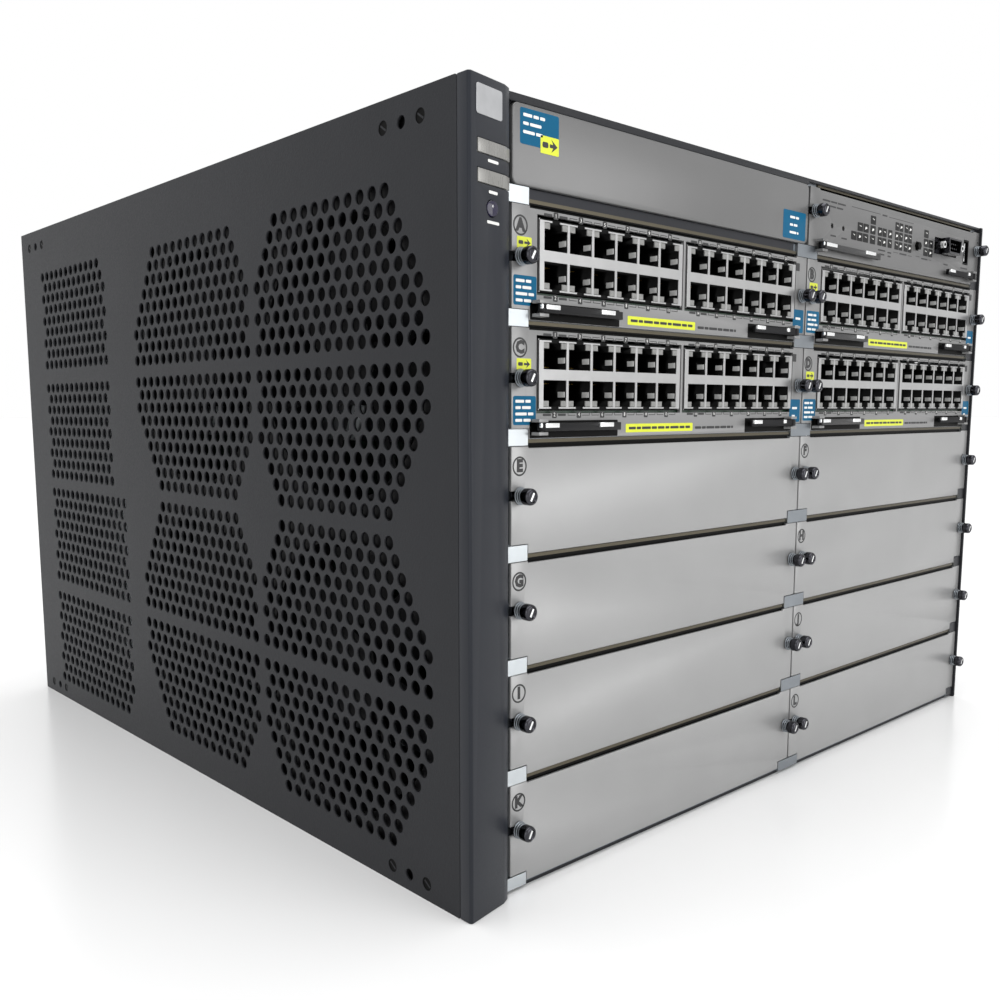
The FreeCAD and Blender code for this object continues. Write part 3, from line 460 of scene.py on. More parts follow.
def rounded_rectangle(u0, u1, v0, v1, radius, steps=4):
    """Outline of a rectangle with rounded corners."""
    points = []
    for corner, (u, v) in enumerate(((u1 - radius, v1 - radius), (u0 + radius, v1 - radius),
                                     (u0 + radius, v0 + radius), (u1 - radius, v0 + radius))):
        for step in range(steps + 1):
            angle = TURN / 4 * (corner + step / steps)
            points.append((u + radius * math.cos(angle), v + radius * math.sin(angle)))
    return points


def add_sheet(shape, outlines, thickness, place, material=0):
    """Adds a flat sheet with holes where its inner outlines are, its middle plane at W = 0."""
    curve = bpy.data.curves.new("outline", "CURVE")
    curve.dimensions = "2D"
    curve.fill_mode = "BOTH"
    curve.extrude = thickness / 2 / MM
    for points in outlines:
        spline = curve.splines.new("POLY")
        spline.points.add(len(points) - 1)
        for point, (u, v) in zip(spline.points, points):
            point.co = (u / MM, v / MM, 0, 1)
        spline.use_cyclic_u = True
    add_curve(shape, curve, place, material)


def add_curve(shape, curve, place, material=0):
    """Adds a curve or text, drawn in millimetres because its fill loses small outlines in metres."""
    holder = bpy.data.objects.new("outline", curve)
    bpy.context.collection.objects.link(holder)
    bpy.context.view_layer.update()
    mesh = bpy.data.meshes.new_from_object(holder.evaluated_get(bpy.context.evaluated_depsgraph_get()))
    bpy.data.objects.remove(holder)
    flat = bmesh.new()
    flat.from_mesh(mesh)
    bmesh.ops.remove_doubles(flat, verts=flat.verts, dist=1e-4)
    paint(flat.verts, material)
    flat.to_mesh(mesh)
    flat.free()
    add_copy(shape, mesh, place @ Matrix.Scale(MM, 4))
    bpy.data.meshes.remove(mesh)


def add_copy(shape, mesh, place):
    """Adds a copy of a mesh at a place."""
    copy = mesh.copy()
    copy.transform(place)
    shape.from_mesh(copy)
    bpy.data.meshes.remove(copy)


def print_on(shape, outlines, x, y, z, layer=1, material=0):
    """Prints or sticks an outline on a front; each layer lies on the one before."""
    thickness = (layer + 0.4) * PRINT_LAYER
    place = on_front(x, y + 0.4 * PRINT_LAYER - thickness / 2, z)
    add_sheet(shape, outlines, thickness, place, material)


def print_word(shape, word, size, x, y, z, layer=1, material=0, weight=0.0):
    """Prints a number or letter, centred on its place; its strokes are thickened by the weight."""
    thickness = (layer + 0.4) * PRINT_LAYER
    text = bpy.data.curves.new("word", "FONT")
    text.body = word
    text.size = size / MM
    text.align_x = "CENTER"
    text.align_y = "CENTER"
    text.extrude = thickness / 2 / MM
    text.offset = weight
    text.resolution_u = 2
    add_curve(shape, text, on_front(x, y + 0.4 * PRINT_LAYER - thickness / 2, z), material)


def line_mark(shape, x0, x1, z0, z1):
    """A thin line printed on the plates' front."""
    add_block(shape, (x0, FACE_Y - LINE_DEPTH, z0), (x1, FACE_Y + LINE_DEPTH, z1))


def on_front(x, y, z):
    """Lays a flat outline at that place on the front."""
    return Matrix.Translation((x, y, z)) @ ONTO_FRONT


def make_piece(name, shape, body, finishes, smooth=False):
    """Turns a bmesh into a piece that rides on a body."""
    mesh = bpy.data.meshes.new(name)
    if smooth:
        for face in shape.faces:
            face.smooth = True
    shape.to_mesh(mesh)
    shape.free()
    made = bpy.data.objects.new(name, mesh)
    bpy.context.collection.objects.link(made)
    for finish_name in finishes:
        mesh.materials.append(finish(finish_name))
    if smooth:
        mesh.set_sharp_from_angle(angle=SHARP_ABOVE)
    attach(made, body)
    return made


def start_from(node):
    """A bmesh of a CAD node with its doubles merged and its flat faces whole."""
    shape = bmesh.new()
    shape.from_mesh(frame["nodes"][node].data)
    bmesh.ops.remove_doubles(shape, verts=shape.verts, dist=1e-6)
    bmesh.ops.dissolve_limit(shape, angle_limit=math.radians(0.5), verts=shape.verts, edges=shape.edges)
    for face in shape.faces:
        face.material_index = 0
    return shape


def rounded_node(name, node, body, finishes, width, segments=2):
    """Replaces a CAD node by a copy with its sharp edges rounded."""
    shape = start_from(node)
    soften(shape, shape.verts, width, segments)
    made = make_piece(name, shape, body, finishes, smooth=True)
    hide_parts(node)
    return made


def opening(name):
    """Corners of a space that the record keeps free."""
    found = [space for space in frame["record"]["physics"]["openings"] if space["name"] == name][0]
    return [Vector(corner) for corner in found["box_m"]]


def dress(node, finish_name):
    """Gives a CAD node a finish."""
    mesh = frame["nodes"][node].data
    mesh.materials.clear()
    mesh.materials.append(finish(finish_name))


# ---- places on the front
def rail_z(row):
    """Height of the top of the rail over a slot row."""
    return PLATE_LOW.z + sizes().lip_drop - (row - 1) * ROW_PITCH


def screw_z(row):
    """Height of the captive screws of a slot row; row -1 is the management module."""
    if row < 0:
        low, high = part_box("management_screw_left")
        return (low.z + high.z) / 2
    return (rail_z(row + 1) + rail_z(row) - sizes().rail_height) / 2


def screw_xs(column):
    """X places of the two captive screws of a plate."""
    return (COLUMN_X[column] + sizes().screw_inset, COLUMN_X[column] + PLATE_WIDTH - sizes().screw_inset)


# ---- perforated case
def fan_field(y, z, front, up):
    """Hole centres of one half field over or under a fan, which leans to the front or the rear."""
    pitch = sizes().hole_pitch
    rows = 9
    wide = 60 * MM
    near = 5.85 * MM
    cut_left, cut_right = 6, 4
    holes = []
    for row in range(rows):
        rise = near + (rows - 1 - row) * pitch * math.sqrt(3) / 2
        left = -wide + max(cut_left - row, row % 2) * pitch / 2
        right = wide - max(cut_right - row, row % 2) * pitch / 2
        count = round((right - left) / pitch) + 1
        for i in range(count):
            across = left + i * pitch
            holes.append((y + (across if front else -across), z + (rise if up else -rise)))
    return holes


def rear_field(top, width, missing=None):
    """Hole centres of one rectangular rear field, from its top row down; one hole may be left out."""
    pitch = sizes().hole_pitch
    last = PANEL_HIGH.y - 35.0 * MM
    rows = 9
    holes = []
    for row in range(rows):
        short = row % 2
        for i in range(width - short):
            y = last - short * pitch / 2 - i * pitch
            holes.append((y, top - row * pitch * math.sqrt(3) / 2))
    if missing is not None:
        del holes[missing]
    return holes


def air_holes():
    """Hole centres of one side of the case, in Y and Z."""
    size = sizes()
    holes = []
    for z in (size.fan_low, size.fan_high):
        for step, front in ((0, True), (1, False)):
            y = FACE_Y + size.fan_front + step * size.fan_pitch
            holes += fan_field(y, z, front, True) + fan_field(y, z, front, False)
    holes += rear_field(277.1 * MM, 13, 12)
    holes += rear_field(206.7 * MM, 13)
    holes += rear_field(139.2 * MM, 15)
    holes += rear_field(70.0 * MM, 15, 130)
    return holes


def bracket_places():
    """Y and Z of the four rack bracket holes, from the record's mount."""
    mount = [m for m in frame["record"]["mounts"] if m["name"] == "left_bracket_holes"][0]
    _, y, z = mount["pos_m"]
    half_y = mount["dims"]["spacing_x_mm"] * MM / 2
    half_z = mount["dims"]["spacing_y_mm"] * MM / 2
    return [(y + a * half_y, z + b * half_z) for a in (-1, 1) for b in (-1, 1)]


class MakeSidePanels(bpy.types.Operator):
    """Builds both perforated side panels and their corner screws."""

    bl_idname = "chassis.side_panels"
    bl_label = "Side panels"

    def execute(self, context):
        for side, low, high, outside, way in (("left", PANEL_LOW, PANEL_HIGH, PANEL_LOW.x, -1),
                                              ("right", RIGHT_LOW, RIGHT_HIGH, RIGHT_HIGH.x, 1)):
            self.panel(side, low, high)
            self.corner_screws(side + "_case_screws", outside, way)
        return {"FINISHED"}

    def panel(self, side, low, high):
        """A sheet with its air holes, bracket holes and screw holes."""
        size = sizes()
        outlines = [rounded_rectangle(low.y, high.y, low.z, high.z, 0.6 * MM, 2)]
        outlines += [ring_points(y, z, size.hole_radius, size.hole_sides) for y, z in air_holes()]
        outlines += [ring_points(y, z, size.bracket_radius, 24) for y, z in bracket_places()]
        outlines += [ring_points(y + way * size.bracket_pitch, z, size.case_screw, 24)
                     for y, z in bracket_places() for way in (-1, 1)]
        shape = bmesh.new()
        middle = Matrix.Translation(((low.x + high.x) / 2, 0, 0))
        add_sheet(shape, outlines, high.x - low.x, middle @ ONTO_SIDE)
        made = make_piece(side + "_perforated_panel", shape, "chassis", ("powder_coat",))
        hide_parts(side + "_side_panel")

    def corner_screws(self, name, x, way):
        """Two screws beside each bracket hole, sunk in the panel, each with a slanting slot."""
        shape = bmesh.new()
        for y, z in bracket_places():
            for side in (-1, 1):
                centre = Vector((x - way * 0.9 * MM, y + side * sizes().bracket_pitch, z))
                add_round(shape, centre, (way, 0, 0), sizes().case_screw, 1.1 * MM, 24)
                slot = Matrix.Translation((x - way * 0.34 * MM, centre.y, z)) @ Matrix.Rotation(0.6, 4, "X")
                bar = bmesh.ops.create_cube(shape, size=MM,
                                            matrix=slot @ Matrix.Diagonal((0.06, 4.0, 0.7, 1)))
                paint(bar["verts"], 1)
        make_piece(name, shape, "chassis", ("housing_black", "powder_coat"), smooth=True)


class MakeCase(bpy.types.Operator):
    """Finishes the base, cover, rear panel and card cage, and adds their screws."""

    bl_idname = "chassis.case"
    bl_label = "Case"

    def execute(self, context):
        dress("base_pan", "powder_coat")
        rounded_node("covered_top", "top_cover", "chassis", ("powder_coat",), 0.4 * MM)
        dress("rear_panel", "plated_steel")
        self.cage()
        dress("backplane_board", "glass_epoxy")
        dress("rail_gaskets", "bare_bronze")
        self.rail_shades()
        self.cover_screws()
        return {"FINISHED"}

    def cage(self):
        """The zinc cage with painted shade: darker fronts and inner tabs, and darkest right tabs and side
        that faces the fans.
        """
        shape = start_from("card_cage")
        low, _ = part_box("card_cage")
        # Painted reflection and shade: the tabs are bright at the left, darker in the middle and darkest at
        # the right; the other fronts are darker and the side that faces the fans darkest.
        for face in shape.faces:
            middle = face.calc_center_median()
            tab = middle.y < FACE_Y + 0.1 * MM
            if tab and middle.x > COLUMN_X[0] + PLATE_WIDTH / 2:
                face.material_index = 2 if middle.x > COLUMN_X[1] + PLATE_WIDTH / 2 else 1
            elif not tab and middle.x < low.x + 0.9 * MM:
                face.material_index = 2
            elif not tab and face.normal.y < -0.5:
                face.material_index = 1
        made = make_piece("plated_cage", shape, "chassis",
                          ("zinc_plate", "dull_zinc", "passivated_zinc"))
        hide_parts("card_cage")

    def rail_shades(self):
        """Painted shadow: black lips over the contact strips' lower edges and in the gaps below them, which
        close the gaps over the plates, and a dark top rail painted as shade under the name plate.
        """
        shape = bmesh.new()
        rail_y, strip_y = PLATE_BACK_Y + 0.6 * MM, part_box("rail_gaskets")[0].y
        end = 9.4 * MM
        for column in (0, 1):
            a, b = COLUMN_X[column] + end, COLUMN_X[column] + PLATE_WIDTH - end
            for row in range(SLOT_ROWS):
                low = rail_z(row) - sizes().rail_height
                # Painted shadow: a black lip over the contact strip's lower edge, and a black strip in the
                # gap below it.
                add_block(shape, (a, strip_y - 0.1 * MM, low + 0.25 * MM), (b, rail_y, low + 0.9 * MM))
                add_block(shape, (a, PLATE_BACK_Y + 0.15 * MM, low - 1.5 * MM),
                          (b, rail_y - 0.05 * MM, low + 0.2 * MM))
        # Painted shade: a dark rail under the name plate.
        low = rail_z(0) - sizes().rail_height + 2.35 * MM
        add_block(shape, (COLUMN_X[0] + end, rail_y - 0.1 * MM, low),
                  (COLUMN_X[0] + PLATE_WIDTH - end, rail_y, NAME_LOW.z - 0.2 * MM), 1)
        make_piece("rail_painted_shadow_lips", shape, "chassis",
                   ("housing_black", "passivated_zinc"))

    def cover_screws(self):
        """Flat screws along both sides of the top cover and round the rear panel."""
        shape = bmesh.new()
        rows = 5
        inset, end = 8 * MM, 30 * MM
        for x in (PANEL_HIGH.x + inset, RIGHT_LOW.x - inset):
            for i in range(rows):
                y = PANEL_LOW.y + end + i * (PANEL_HIGH.y - PANEL_LOW.y - 2 * end) / (rows - 1)
                self.flat_screw(shape, Vector((x, y, CASE_HEIGHT)), Vector((0, 0, 1)))
        make_piece("cover_screws", shape, "chassis", ("black_oxide", "housing_black"),
                   smooth=True)
        shape = bmesh.new()
        low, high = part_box("rear_panel")
        edge = 5.5 * MM
        for x in (low.x + end, 0.0, high.x - inset):
            for z in (low.z + edge, high.z - edge):
                self.flat_screw(shape, Vector((x, high.y, z)), Vector((0, 1, 0)))
        make_piece("rear_panel_screws", shape, "chassis", ("dark_nickel", "housing_black"),
                   smooth=True)

    def flat_screw(self, shape, place, out):
        """One cross-slotted screw, just below the surface it holds; its cross is two flat black bars, painted
        shade for the slots.
        """
        add_round(shape, place - out * 0.35 * MM, out, 2.9 * MM, 0.6 * MM, 20, 2.7 * MM)
        across = out.orthogonal().normalized()
        middle = place - out * 0.045 * MM
        for along in (across, out.cross(across)):
            wide = out.cross(along)
            corner = along * 1.7 * MM + wide * 0.3 * MM
            corner = Vector(map(abs, corner))
            thick = Vector(map(abs, out)) * 0.01 * MM
            add_block(shape, middle - corner - thick, middle + corner + thick, 1)


class MakeBezel(bpy.types.Operator):
    """Builds the moulded front column with its lights, lens and bare badge place."""

    bl_idname = "chassis.bezel"
    bl_label = "Bezel"

    def execute(self, context):
        rounded_node("moulded_column", "front_bezel", "chassis", ("moulded_abs",),
                     1.0 * MM, 3)
        self.lights()
        self.badge()
        self.marks()
        return {"FINISHED"}

    def slant(self, x, proud=0.0):
        """Depth of the column's slanting face at that X."""
        across = (x - BEZEL_LOW.x) / SLANT_WIDTH
        return FACE_Y - SLANT_START + SLANT_DROP * across - proud

    def facing(self, x, z, proud=0.0):
        """Lays a flat outline on the column's slanting face."""
        lean = Matrix.Rotation(math.atan2(SLANT_DROP, SLANT_WIDTH), 4, "Z")
        return Matrix.Translation((x, self.slant(x, proud), z)) @ lean @ ONTO_FRONT

    def lights(self):
        """Two silver light bars, and the dark locator lens with a pale spot, which is a painted highlight."""
        shape = start_from("status_lights")
        soften(shape, shape.verts, 0.25 * MM, 2)
        low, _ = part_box("status_lights")
        lens_top = low.z + 6.0 * MM
        for face in shape.faces:
            if face.calc_center_median().z < lens_top:
                face.material_index = 1
        made = make_piece("status_light_bars", shape, "chassis",
                          ("light_guide", "locator_glass"), smooth=True)
        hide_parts("status_lights")
        # Painted highlight: a pale disc on the lens.
        shape = bmesh.new()
        place = self.facing(low.x + 8.2 * MM, 264.2 * MM, 0.5 * MM)
        add_sheet(shape, [ring_points(0, 0, 0.5 * MM, 12)], 0.1 * MM, place)
        make_piece("locator_painted_highlight", shape, "chassis", ("white_ink",))

    def badge(self):
        """A bare silver plate near the top of the column."""
        shape = bmesh.new()
        outline = rounded_rectangle(-7.4 * MM, 7.4 * MM, -5.0 * MM, 5.0 * MM, 0.9 * MM)
        add_sheet(shape, [outline], 0.5 * MM, self.facing(BEZEL_LOW.x + 11.2 * MM, 299.0 * MM))
        make_piece("badge_plate", shape, "chassis", ("badge_silver",))

    def marks(self):
        """A short white mark under each light, where its name would be."""
        shape = bmesh.new()
        for z, wide in ((279.4 * MM, 6.0 * MM), (268.9 * MM, 5.0 * MM), (258.6 * MM, 7.0 * MM)):
            bar = rounded_rectangle(-wide / 2, wide / 2, -0.5 * MM, 0.5 * MM, 0.3 * MM, 2)
            add_sheet(shape, [bar], 0.3 * MM, self.facing(BEZEL_LOW.x + 13.4 * MM, z))
        make_piece("bezel_marks", shape, "chassis", ("white_ink",))


class MakeNamePlate(bpy.types.Operator):
    """Finishes the bare grey name plate and its two plain labels."""

    bl_idname = "chassis.name_plate"
    bl_label = "Name plate"

    def execute(self, context):
        rounded_node("name_plate_pressing", "nameplate_panel", "chassis",
                     ("dark_satin",), 0.5 * MM)
        shape = bmesh.new()
        y = NAME_LOW.y
        left, top = NAME_LOW.x + 3.8 * MM, NAME_HIGH.z - 1.5 * MM
        label(shape, left, left + 20.6 * MM, top - 12.8 * MM, top, y)
        text_lines(shape, left + 1.6 * MM, left + 13.0 * MM, top - 2.4 * MM, y, 3, 3.0 * MM)
        arrow_tag(shape, left + 10.7 * MM, left + 20.6 * MM, top - 14.5 * MM, top - 8.1 * MM, y, 2)
        right = NAME_HIGH.x - 2.4 * MM
        label(shape, right - 20.6 * MM, right, NAME_LOW.z + 1.1 * MM, NAME_LOW.z + 14.5 * MM, y)
        text_lines(shape, right - 14.5 * MM, right - 6.5 * MM, NAME_LOW.z + 11.4 * MM, y, 3, 3.6 * MM)
        make_piece("name_plate_labels", shape, "chassis",
                   ("label_vinyl", "tag_vinyl", "white_ink", "black_ink"))
        return {"FINISHED"}


def label(shape, x0, x1, z0, z1, y, material=0, radius=0.8 * MM, layer=1):
    """A flat label stuck on the front."""
    print_on(shape, [rounded_rectangle(x0, x1, z0, z1, radius, 3)], 0, y, 0, layer, material)


def text_lines(shape, x0, x1, z, y, lines, pitch, material=2, layer=2):
    """Plain bars where a label's lines would be, broken as words are."""
    words = (4.6, 2.8, 6.0, 3.6)
    for i in range(lines):
        high = z - i * pitch
        start, end = x0, x1 - (i % 2) * (x1 - x0) * 0.15
        word = i
        while start < end - MM:
            stop = min(end, start + words[word % len(words)] * MM)
            bar = rounded_rectangle(start, stop, high - 0.55 * MM, high + 0.55 * MM, 0.3 * MM, 2)
            print_on(shape, [bar], 0, y, 0, layer, material)
            start = stop + 0.7 * MM
            word += 1


def arrow_tag(shape, x0, x1, z0, z1, y, layer=1):
    """A bright tag with a black arrow that points right."""
    label(shape, x0, x1, z0, z1, y, 1, 0.4 * MM, layer)
    middle = (z0 + z1) / 2
    wide = x1 - x0
    reach = (z1 - z0) * 0.36
    tip = x1 - wide * 0.08
    stem = x0 + wide * 0.5
    bar = (z1 - z0) * 0.1
    outline = [(stem, middle - bar), (tip - reach, middle - bar), (tip - reach * 1.4, middle - reach),
               (tip, middle), (tip - reach * 1.4, middle + reach), (tip - reach, middle + bar),
               (stem, middle + bar)]
    print_on(shape, [outline], 0, y, 0, layer + 1, 3)
    thick = bar * 1.6
    dash = rounded_rectangle(x0 + wide * 0.1, x0 + wide * 0.42, middle - thick, middle + thick, bar, 2)
    print_on(shape, [dash], 0, y, 0, layer + 1, 3)


class MakeBlankPlates(bpy.types.Operator):
    """Finishes the blank plates."""

    bl_idname = "chassis.blank_plates"
    bl_label = "Blank plates"

    def execute(self, context):
        rounded_node("blank_plate_pressings", "blank_plates", "chassis",
                     ("blank_paint",), 0.5 * MM)
        shape = bmesh.new()
        for row in range(2, SLOT_ROWS):
            for column in (0, 1):
                slot_letter(shape, column, row)
        make_piece("blank_slot_letters", shape, "chassis", ("black_ink",))
        return {"FINISHED"}


def slot_letter(shape, column, row):
    """A slot's letter in a dark ring, at the left end of its plate."""
    x = COLUMN_X[column] + 4.4 * MM
    z = screw_z(row) + 11.4 * MM
    radius, line = sizes().letter_radius, 0.7 * MM
    print_on(shape, [ring_points(0, 0, radius, 32), ring_points(0, 0, radius - line, 32)], x, FACE_Y, z)
    print_word(shape, SLOT_LETTERS[2 * row + column], 6.2 * MM, x, FACE_Y, z, weight=0.42)


class MakePortModules(bpy.types.Operator):
    """Builds the plates, jacks, port marks and labels of the four port modules."""

    bl_idname = "chassis.port_modules"
    bl_label = "Port modules"

    def execute(self, context):
        for name, column, row in PORT_MODULES:
            rounded_node(name + "_pressing", name + "_faceplate", name,
                         ("satin_paint",), 0.4 * MM)
            dress(name + "_board", "glass_epoxy")
            self.jacks(name)
            self.marks(name)
            self.labels(name, column, row)
        return {"FINISHED"}

    def blocks(self, name):
        """X places of the jacks of a module's two blocks."""
        low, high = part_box(name + "_jack_block")
        size = sizes()
        starts = (low.x + size.jack_inset, high.x - size.jack_inset - 5 * size.jack_pitch)
        return [[start + i * size.jack_pitch for i in range(6)] for start in starts]

    def jacks(self, name):
        """The shields, black housings, light windows, side springs and contacts."""
        low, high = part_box(name + "_jack_block")
        middle = (low.z + high.z) / 2
        shield, housing, windows, contacts = (bmesh.new() for _ in range(4))
        for xs in self.blocks(name):
            self.shield(shield, xs, low, high)
            self.housing(housing, xs, low, high)
            for x in xs:
                for way in (-1, 1):
                    self.jack_windows(windows, x, way, low.y, middle)
                    self.jack_contacts(contacts, x, way, low.y, middle)
        made = make_piece(name + "_jack_shields", shield, name, ("tin_shield",))
        make_piece(name + "_jack_housings", housing, name, ("housing_black",))
        make_piece(name + "_jack_lights", windows, name, ("frosted_lens",))
        make_piece(name + "_jack_contacts", contacts, name, ("spring_nickel", "contact_gold"))
        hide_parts(name + "_jack_block")

    def shield(self, shape, xs, low, high):
        """The bright sheet round twelve jacks, folded back at both ends."""
        inset = sizes().jack_inset
        outline = self.shield_outline(xs, low, high)
        add_sheet(shape, [outline], SHIELD_SKIN, on_front(0, low.y + SHIELD_SKIN / 2, 0))
        x0, x1 = xs[0] - inset, xs[-1] + inset
        for a, b in ((x0, x0 + SHIELD_WALL), (x1 - SHIELD_WALL, x1)):
            add_block(shape, (a, low.y + SHIELD_SKIN, low.z), (b, low.y + 16 * MM, high.z))

    def shield_outline(self, xs, low, high):
        """The frame round twelve jacks: its latch notches leave one closed outline."""
        size = sizes()
        inset, margin = size.jack_inset, 0.6 * MM
        half, notch = size.jack_width / 2, size.notch_width / 2
        middle = (low.z + high.z) / 2
        points = []
        for way, order in ((-1, xs), (1, xs[::-1])):
            edge = low.z + margin if way < 0 else high.z - margin
            near = middle + way * size.jack_band / 2
            far = near + way * size.jack_height
            points.append((order[0] + way * inset, edge))
            for x in order:
                a, b = x + way * notch, x - way * notch
                c, d = x + way * half, x - way * half
                points += [(a, edge), (a, far), (c, far), (c, near), (d, near), (d, far), (b, far), (b, edge)]
            points.append((order[-1] - way * inset, edge))
        return points

    def housing(self, shape, xs, low, high):
        """The black moulding of twelve sockets, each with room for a plug and its latch."""
        size = sizes()
        middle = (low.z + high.z) / 2
        half, peak = size.jack_width / 2 - FIT, 3.0 * MM
        holes = []
        for x in xs:
            for way in (-1, 1):
                near = middle + way * (size.jack_band / 2 + FIT)
                far = near + way * 7.7 * MM
                tip = far + way * 2.4 * MM
                holes.append([(x - half, near), (x + half, near), (x + half, far), (x + peak, far),
                              (x + peak, tip), (x - peak, tip), (x - peak, far), (x - half, far)])
        x0, x1 = xs[0] - size.jack_inset + SHIELD_WALL, xs[-1] + size.jack_inset - SHIELD_WALL
        box = [(x0, low.z), (x1, low.z), (x1, high.z), (x0, high.z)]
        place = on_front(0, low.y + (SOCKET_DEPTH + SHIELD_SKIN) / 2, 0)
        add_sheet(shape, [box] + holes, SOCKET_DEPTH - SHIELD_SKIN, place)
        add_block(shape, (x0, low.y + SOCKET_DEPTH, low.z), (x1, high.y, high.z))

    def jack_windows(self, shape, x, way, y, middle):
        """The two light windows of a jack, beside its latch."""
        near = middle + way * sizes().jack_band / 2
        half = sizes().jack_width / 2
        for side in (-1, 1):
            inner, outer = x + side * 3.5 * MM, x + side * (half - FIT)
            z0, z1 = near + way * 8.0 * MM, near + way * 10.2 * MM
            add_block(shape, (min(inner, outer), y + 0.05 * MM, min(z0, z1)),
                      (max(inner, outer), y + 1.2 * MM, max(z0, z1)))

    def jack_contacts(self, shape, x, way, y, middle):
        """The side spring on a jack's right wall, and its eight contacts."""
        near = middle + way * sizes().jack_band / 2
        wall = x + sizes().jack_width / 2 - FIT
        start, end = (2.6, 4.8) if way > 0 else (4.4, 6.6)
        z0, z1 = near + way * start * MM, near + way * end * MM
        # The side spring takes the pale finish, painted light for the gleam of its metal.
        add_block(shape, (wall - 0.3 * MM, y + 0.8 * MM, min(z0, z1)), (wall, y + 4.4 * MM, max(z0, z1)))
        count, pitch, half = 8, 1.02 * MM, 0.2 * MM
        for i in range(count):
            at = x + (i - (count - 1) / 2) * pitch
            z0, z1 = near + way * 1.0 * MM, near + way * 1.3 * MM
            add_block(shape, (at - half, y + 7.0 * MM, min(z0, z1)),
                      (at + half, y + 12.5 * MM, max(z0, z1)), 1)

    def marks(self, name):
        """Numbered dark squares over and under the jacks, with the lines or bars beside them."""
        low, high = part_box(name + "_jack_block")
        shape = bmesh.new()
        port = 1
        for xs in self.blocks(name):
            for x in xs:
                self.mark(shape, port, x, high.z + 1.6 * MM, 1, x == xs[0])
                self.mark(shape, port + 1, x, low.z - 1.8 * MM, -1, x == xs[0])
                port += 2
        make_piece(name + "_port_marks", shape, name, ("black_ink", "white_ink"))

    def mark(self, shape, number, x, z, way, first):
        """One numbered square; the first of a block has plain bars where words would be."""
        size = sizes()
        half = size.mark_size / 2
        digits = 2.1 * MM if number < 10 else 1.6 * MM
        print_on(shape, [rounded_rectangle(-half, half, -half, half, 0.4 * MM, 2)], x, FACE_Y, z)
        print_word(shape, str(number), digits, x, FACE_Y, z, 2, 1)
        for side in (-1, 1):
            near, far = x + side * (half + 0.7 * MM), x + side * (size.jack_pitch / 2 - 0.6 * MM)
            if first:
                a, b, thick = min(near, far), max(near, far), 0.45 * MM
                print_on(shape, [rounded_rectangle(a, b, z - thick, z + thick, 0.2 * MM)], 0, FACE_Y, 0)
            else:
                self.bracket(shape, near, far, z, way)

    def bracket(self, shape, x0, x1, z, way):
        """A thin printed line that turns towards the jack at its outer end."""
        line = 0.28 * MM
        reach = -way * 1.3 * MM
        z = z + way * 0.2 * MM
        line_mark(shape, min(x0, x1), max(x0, x1), z - line / 2, z + line / 2)
        end = x1 - line / 2 if x1 > x0 else x1 + line / 2
        line_mark(shape, end - line / 2, end + line / 2, min(z, z + reach), max(z, z + reach))

    def labels(self, name, column, row):
        """The slot letter, bright arrow tag, two coloured labels and the bright strip below."""
        letter = bmesh.new()
        slot_letter(letter, column, row)
        make_piece(name + "_slot_letter", letter, name, ("black_ink",))
        shape = bmesh.new()
        y = FACE_Y
        x0 = COLUMN_X[column]
        x1 = x0 + PLATE_WIDTH
        z = screw_z(row)
        arrow_tag(shape, x0 + 2.6 * MM, x0 + 10.3 * MM, z + 3.2 * MM, z + 7.4 * MM, y)
        low = rail_z(row + 1)
        label(shape, x0 + 0.8 * MM, x0 + 13.0 * MM, low + 1.6 * MM, low + 12.6 * MM, y)
        text_lines(shape, x0 + 2.0 * MM, x0 + 11.6 * MM, low + 10.6 * MM, y, 4, 2.4 * MM)
        label(shape, x1 - 11.0 * MM, x1 - 1.2 * MM, low + 1.0 * MM, low + 12.4 * MM, y)
        text_lines(shape, x1 - 8.6 * MM, x1 - 4.0 * MM, low + 8.0 * MM, y, 2, 4.0 * MM)
        strip = low - 1.2 * MM
        label(shape, x0 + 67.0 * MM, x0 + 114.0 * MM, strip - 1.0 * MM, strip + 2.6 * MM, y, 1, 0.4 * MM)
        text_lines(shape, x0 + 69.0 * MM, x0 + 112.0 * MM, strip + 0.8 * MM, y, 1, 1.0 * MM, 3)
        text_lines(shape, x0 + 116.0 * MM, x0 + 146.0 * MM, strip + 0.4 * MM, y, 1, 1.0 * MM, 3)
        label(shape, x1 - 10.2 * MM, x1 - 6.4 * MM, z + 12.0 * MM, z + 15.8 * MM, y, 3, 0.3 * MM)
        self.lever_slots(shape, name, row)
        make_piece(name + "_labels", shape, name,
                   ("label_vinyl", "tag_vinyl", "white_ink", "black_ink", "housing_black"))

    def lever_slots(self, shape, name, row):
        """Flat black patches printed round the levers: painted shade for the slots that they lie in."""
        bottom = PLATE_LOW.z - row * ROW_PITCH + 0.1 * MM
        for side in ("left", "right"):
            low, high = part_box(name + "_lever_" + side)
            slot = rounded_rectangle(low.x - 1.5 * MM, high.x + 1.5 * MM, bottom, high.z + 0.9 * MM, 0.4 * MM)
            print_on(shape, [slot], 0, FACE_Y, 0, 1, 4)


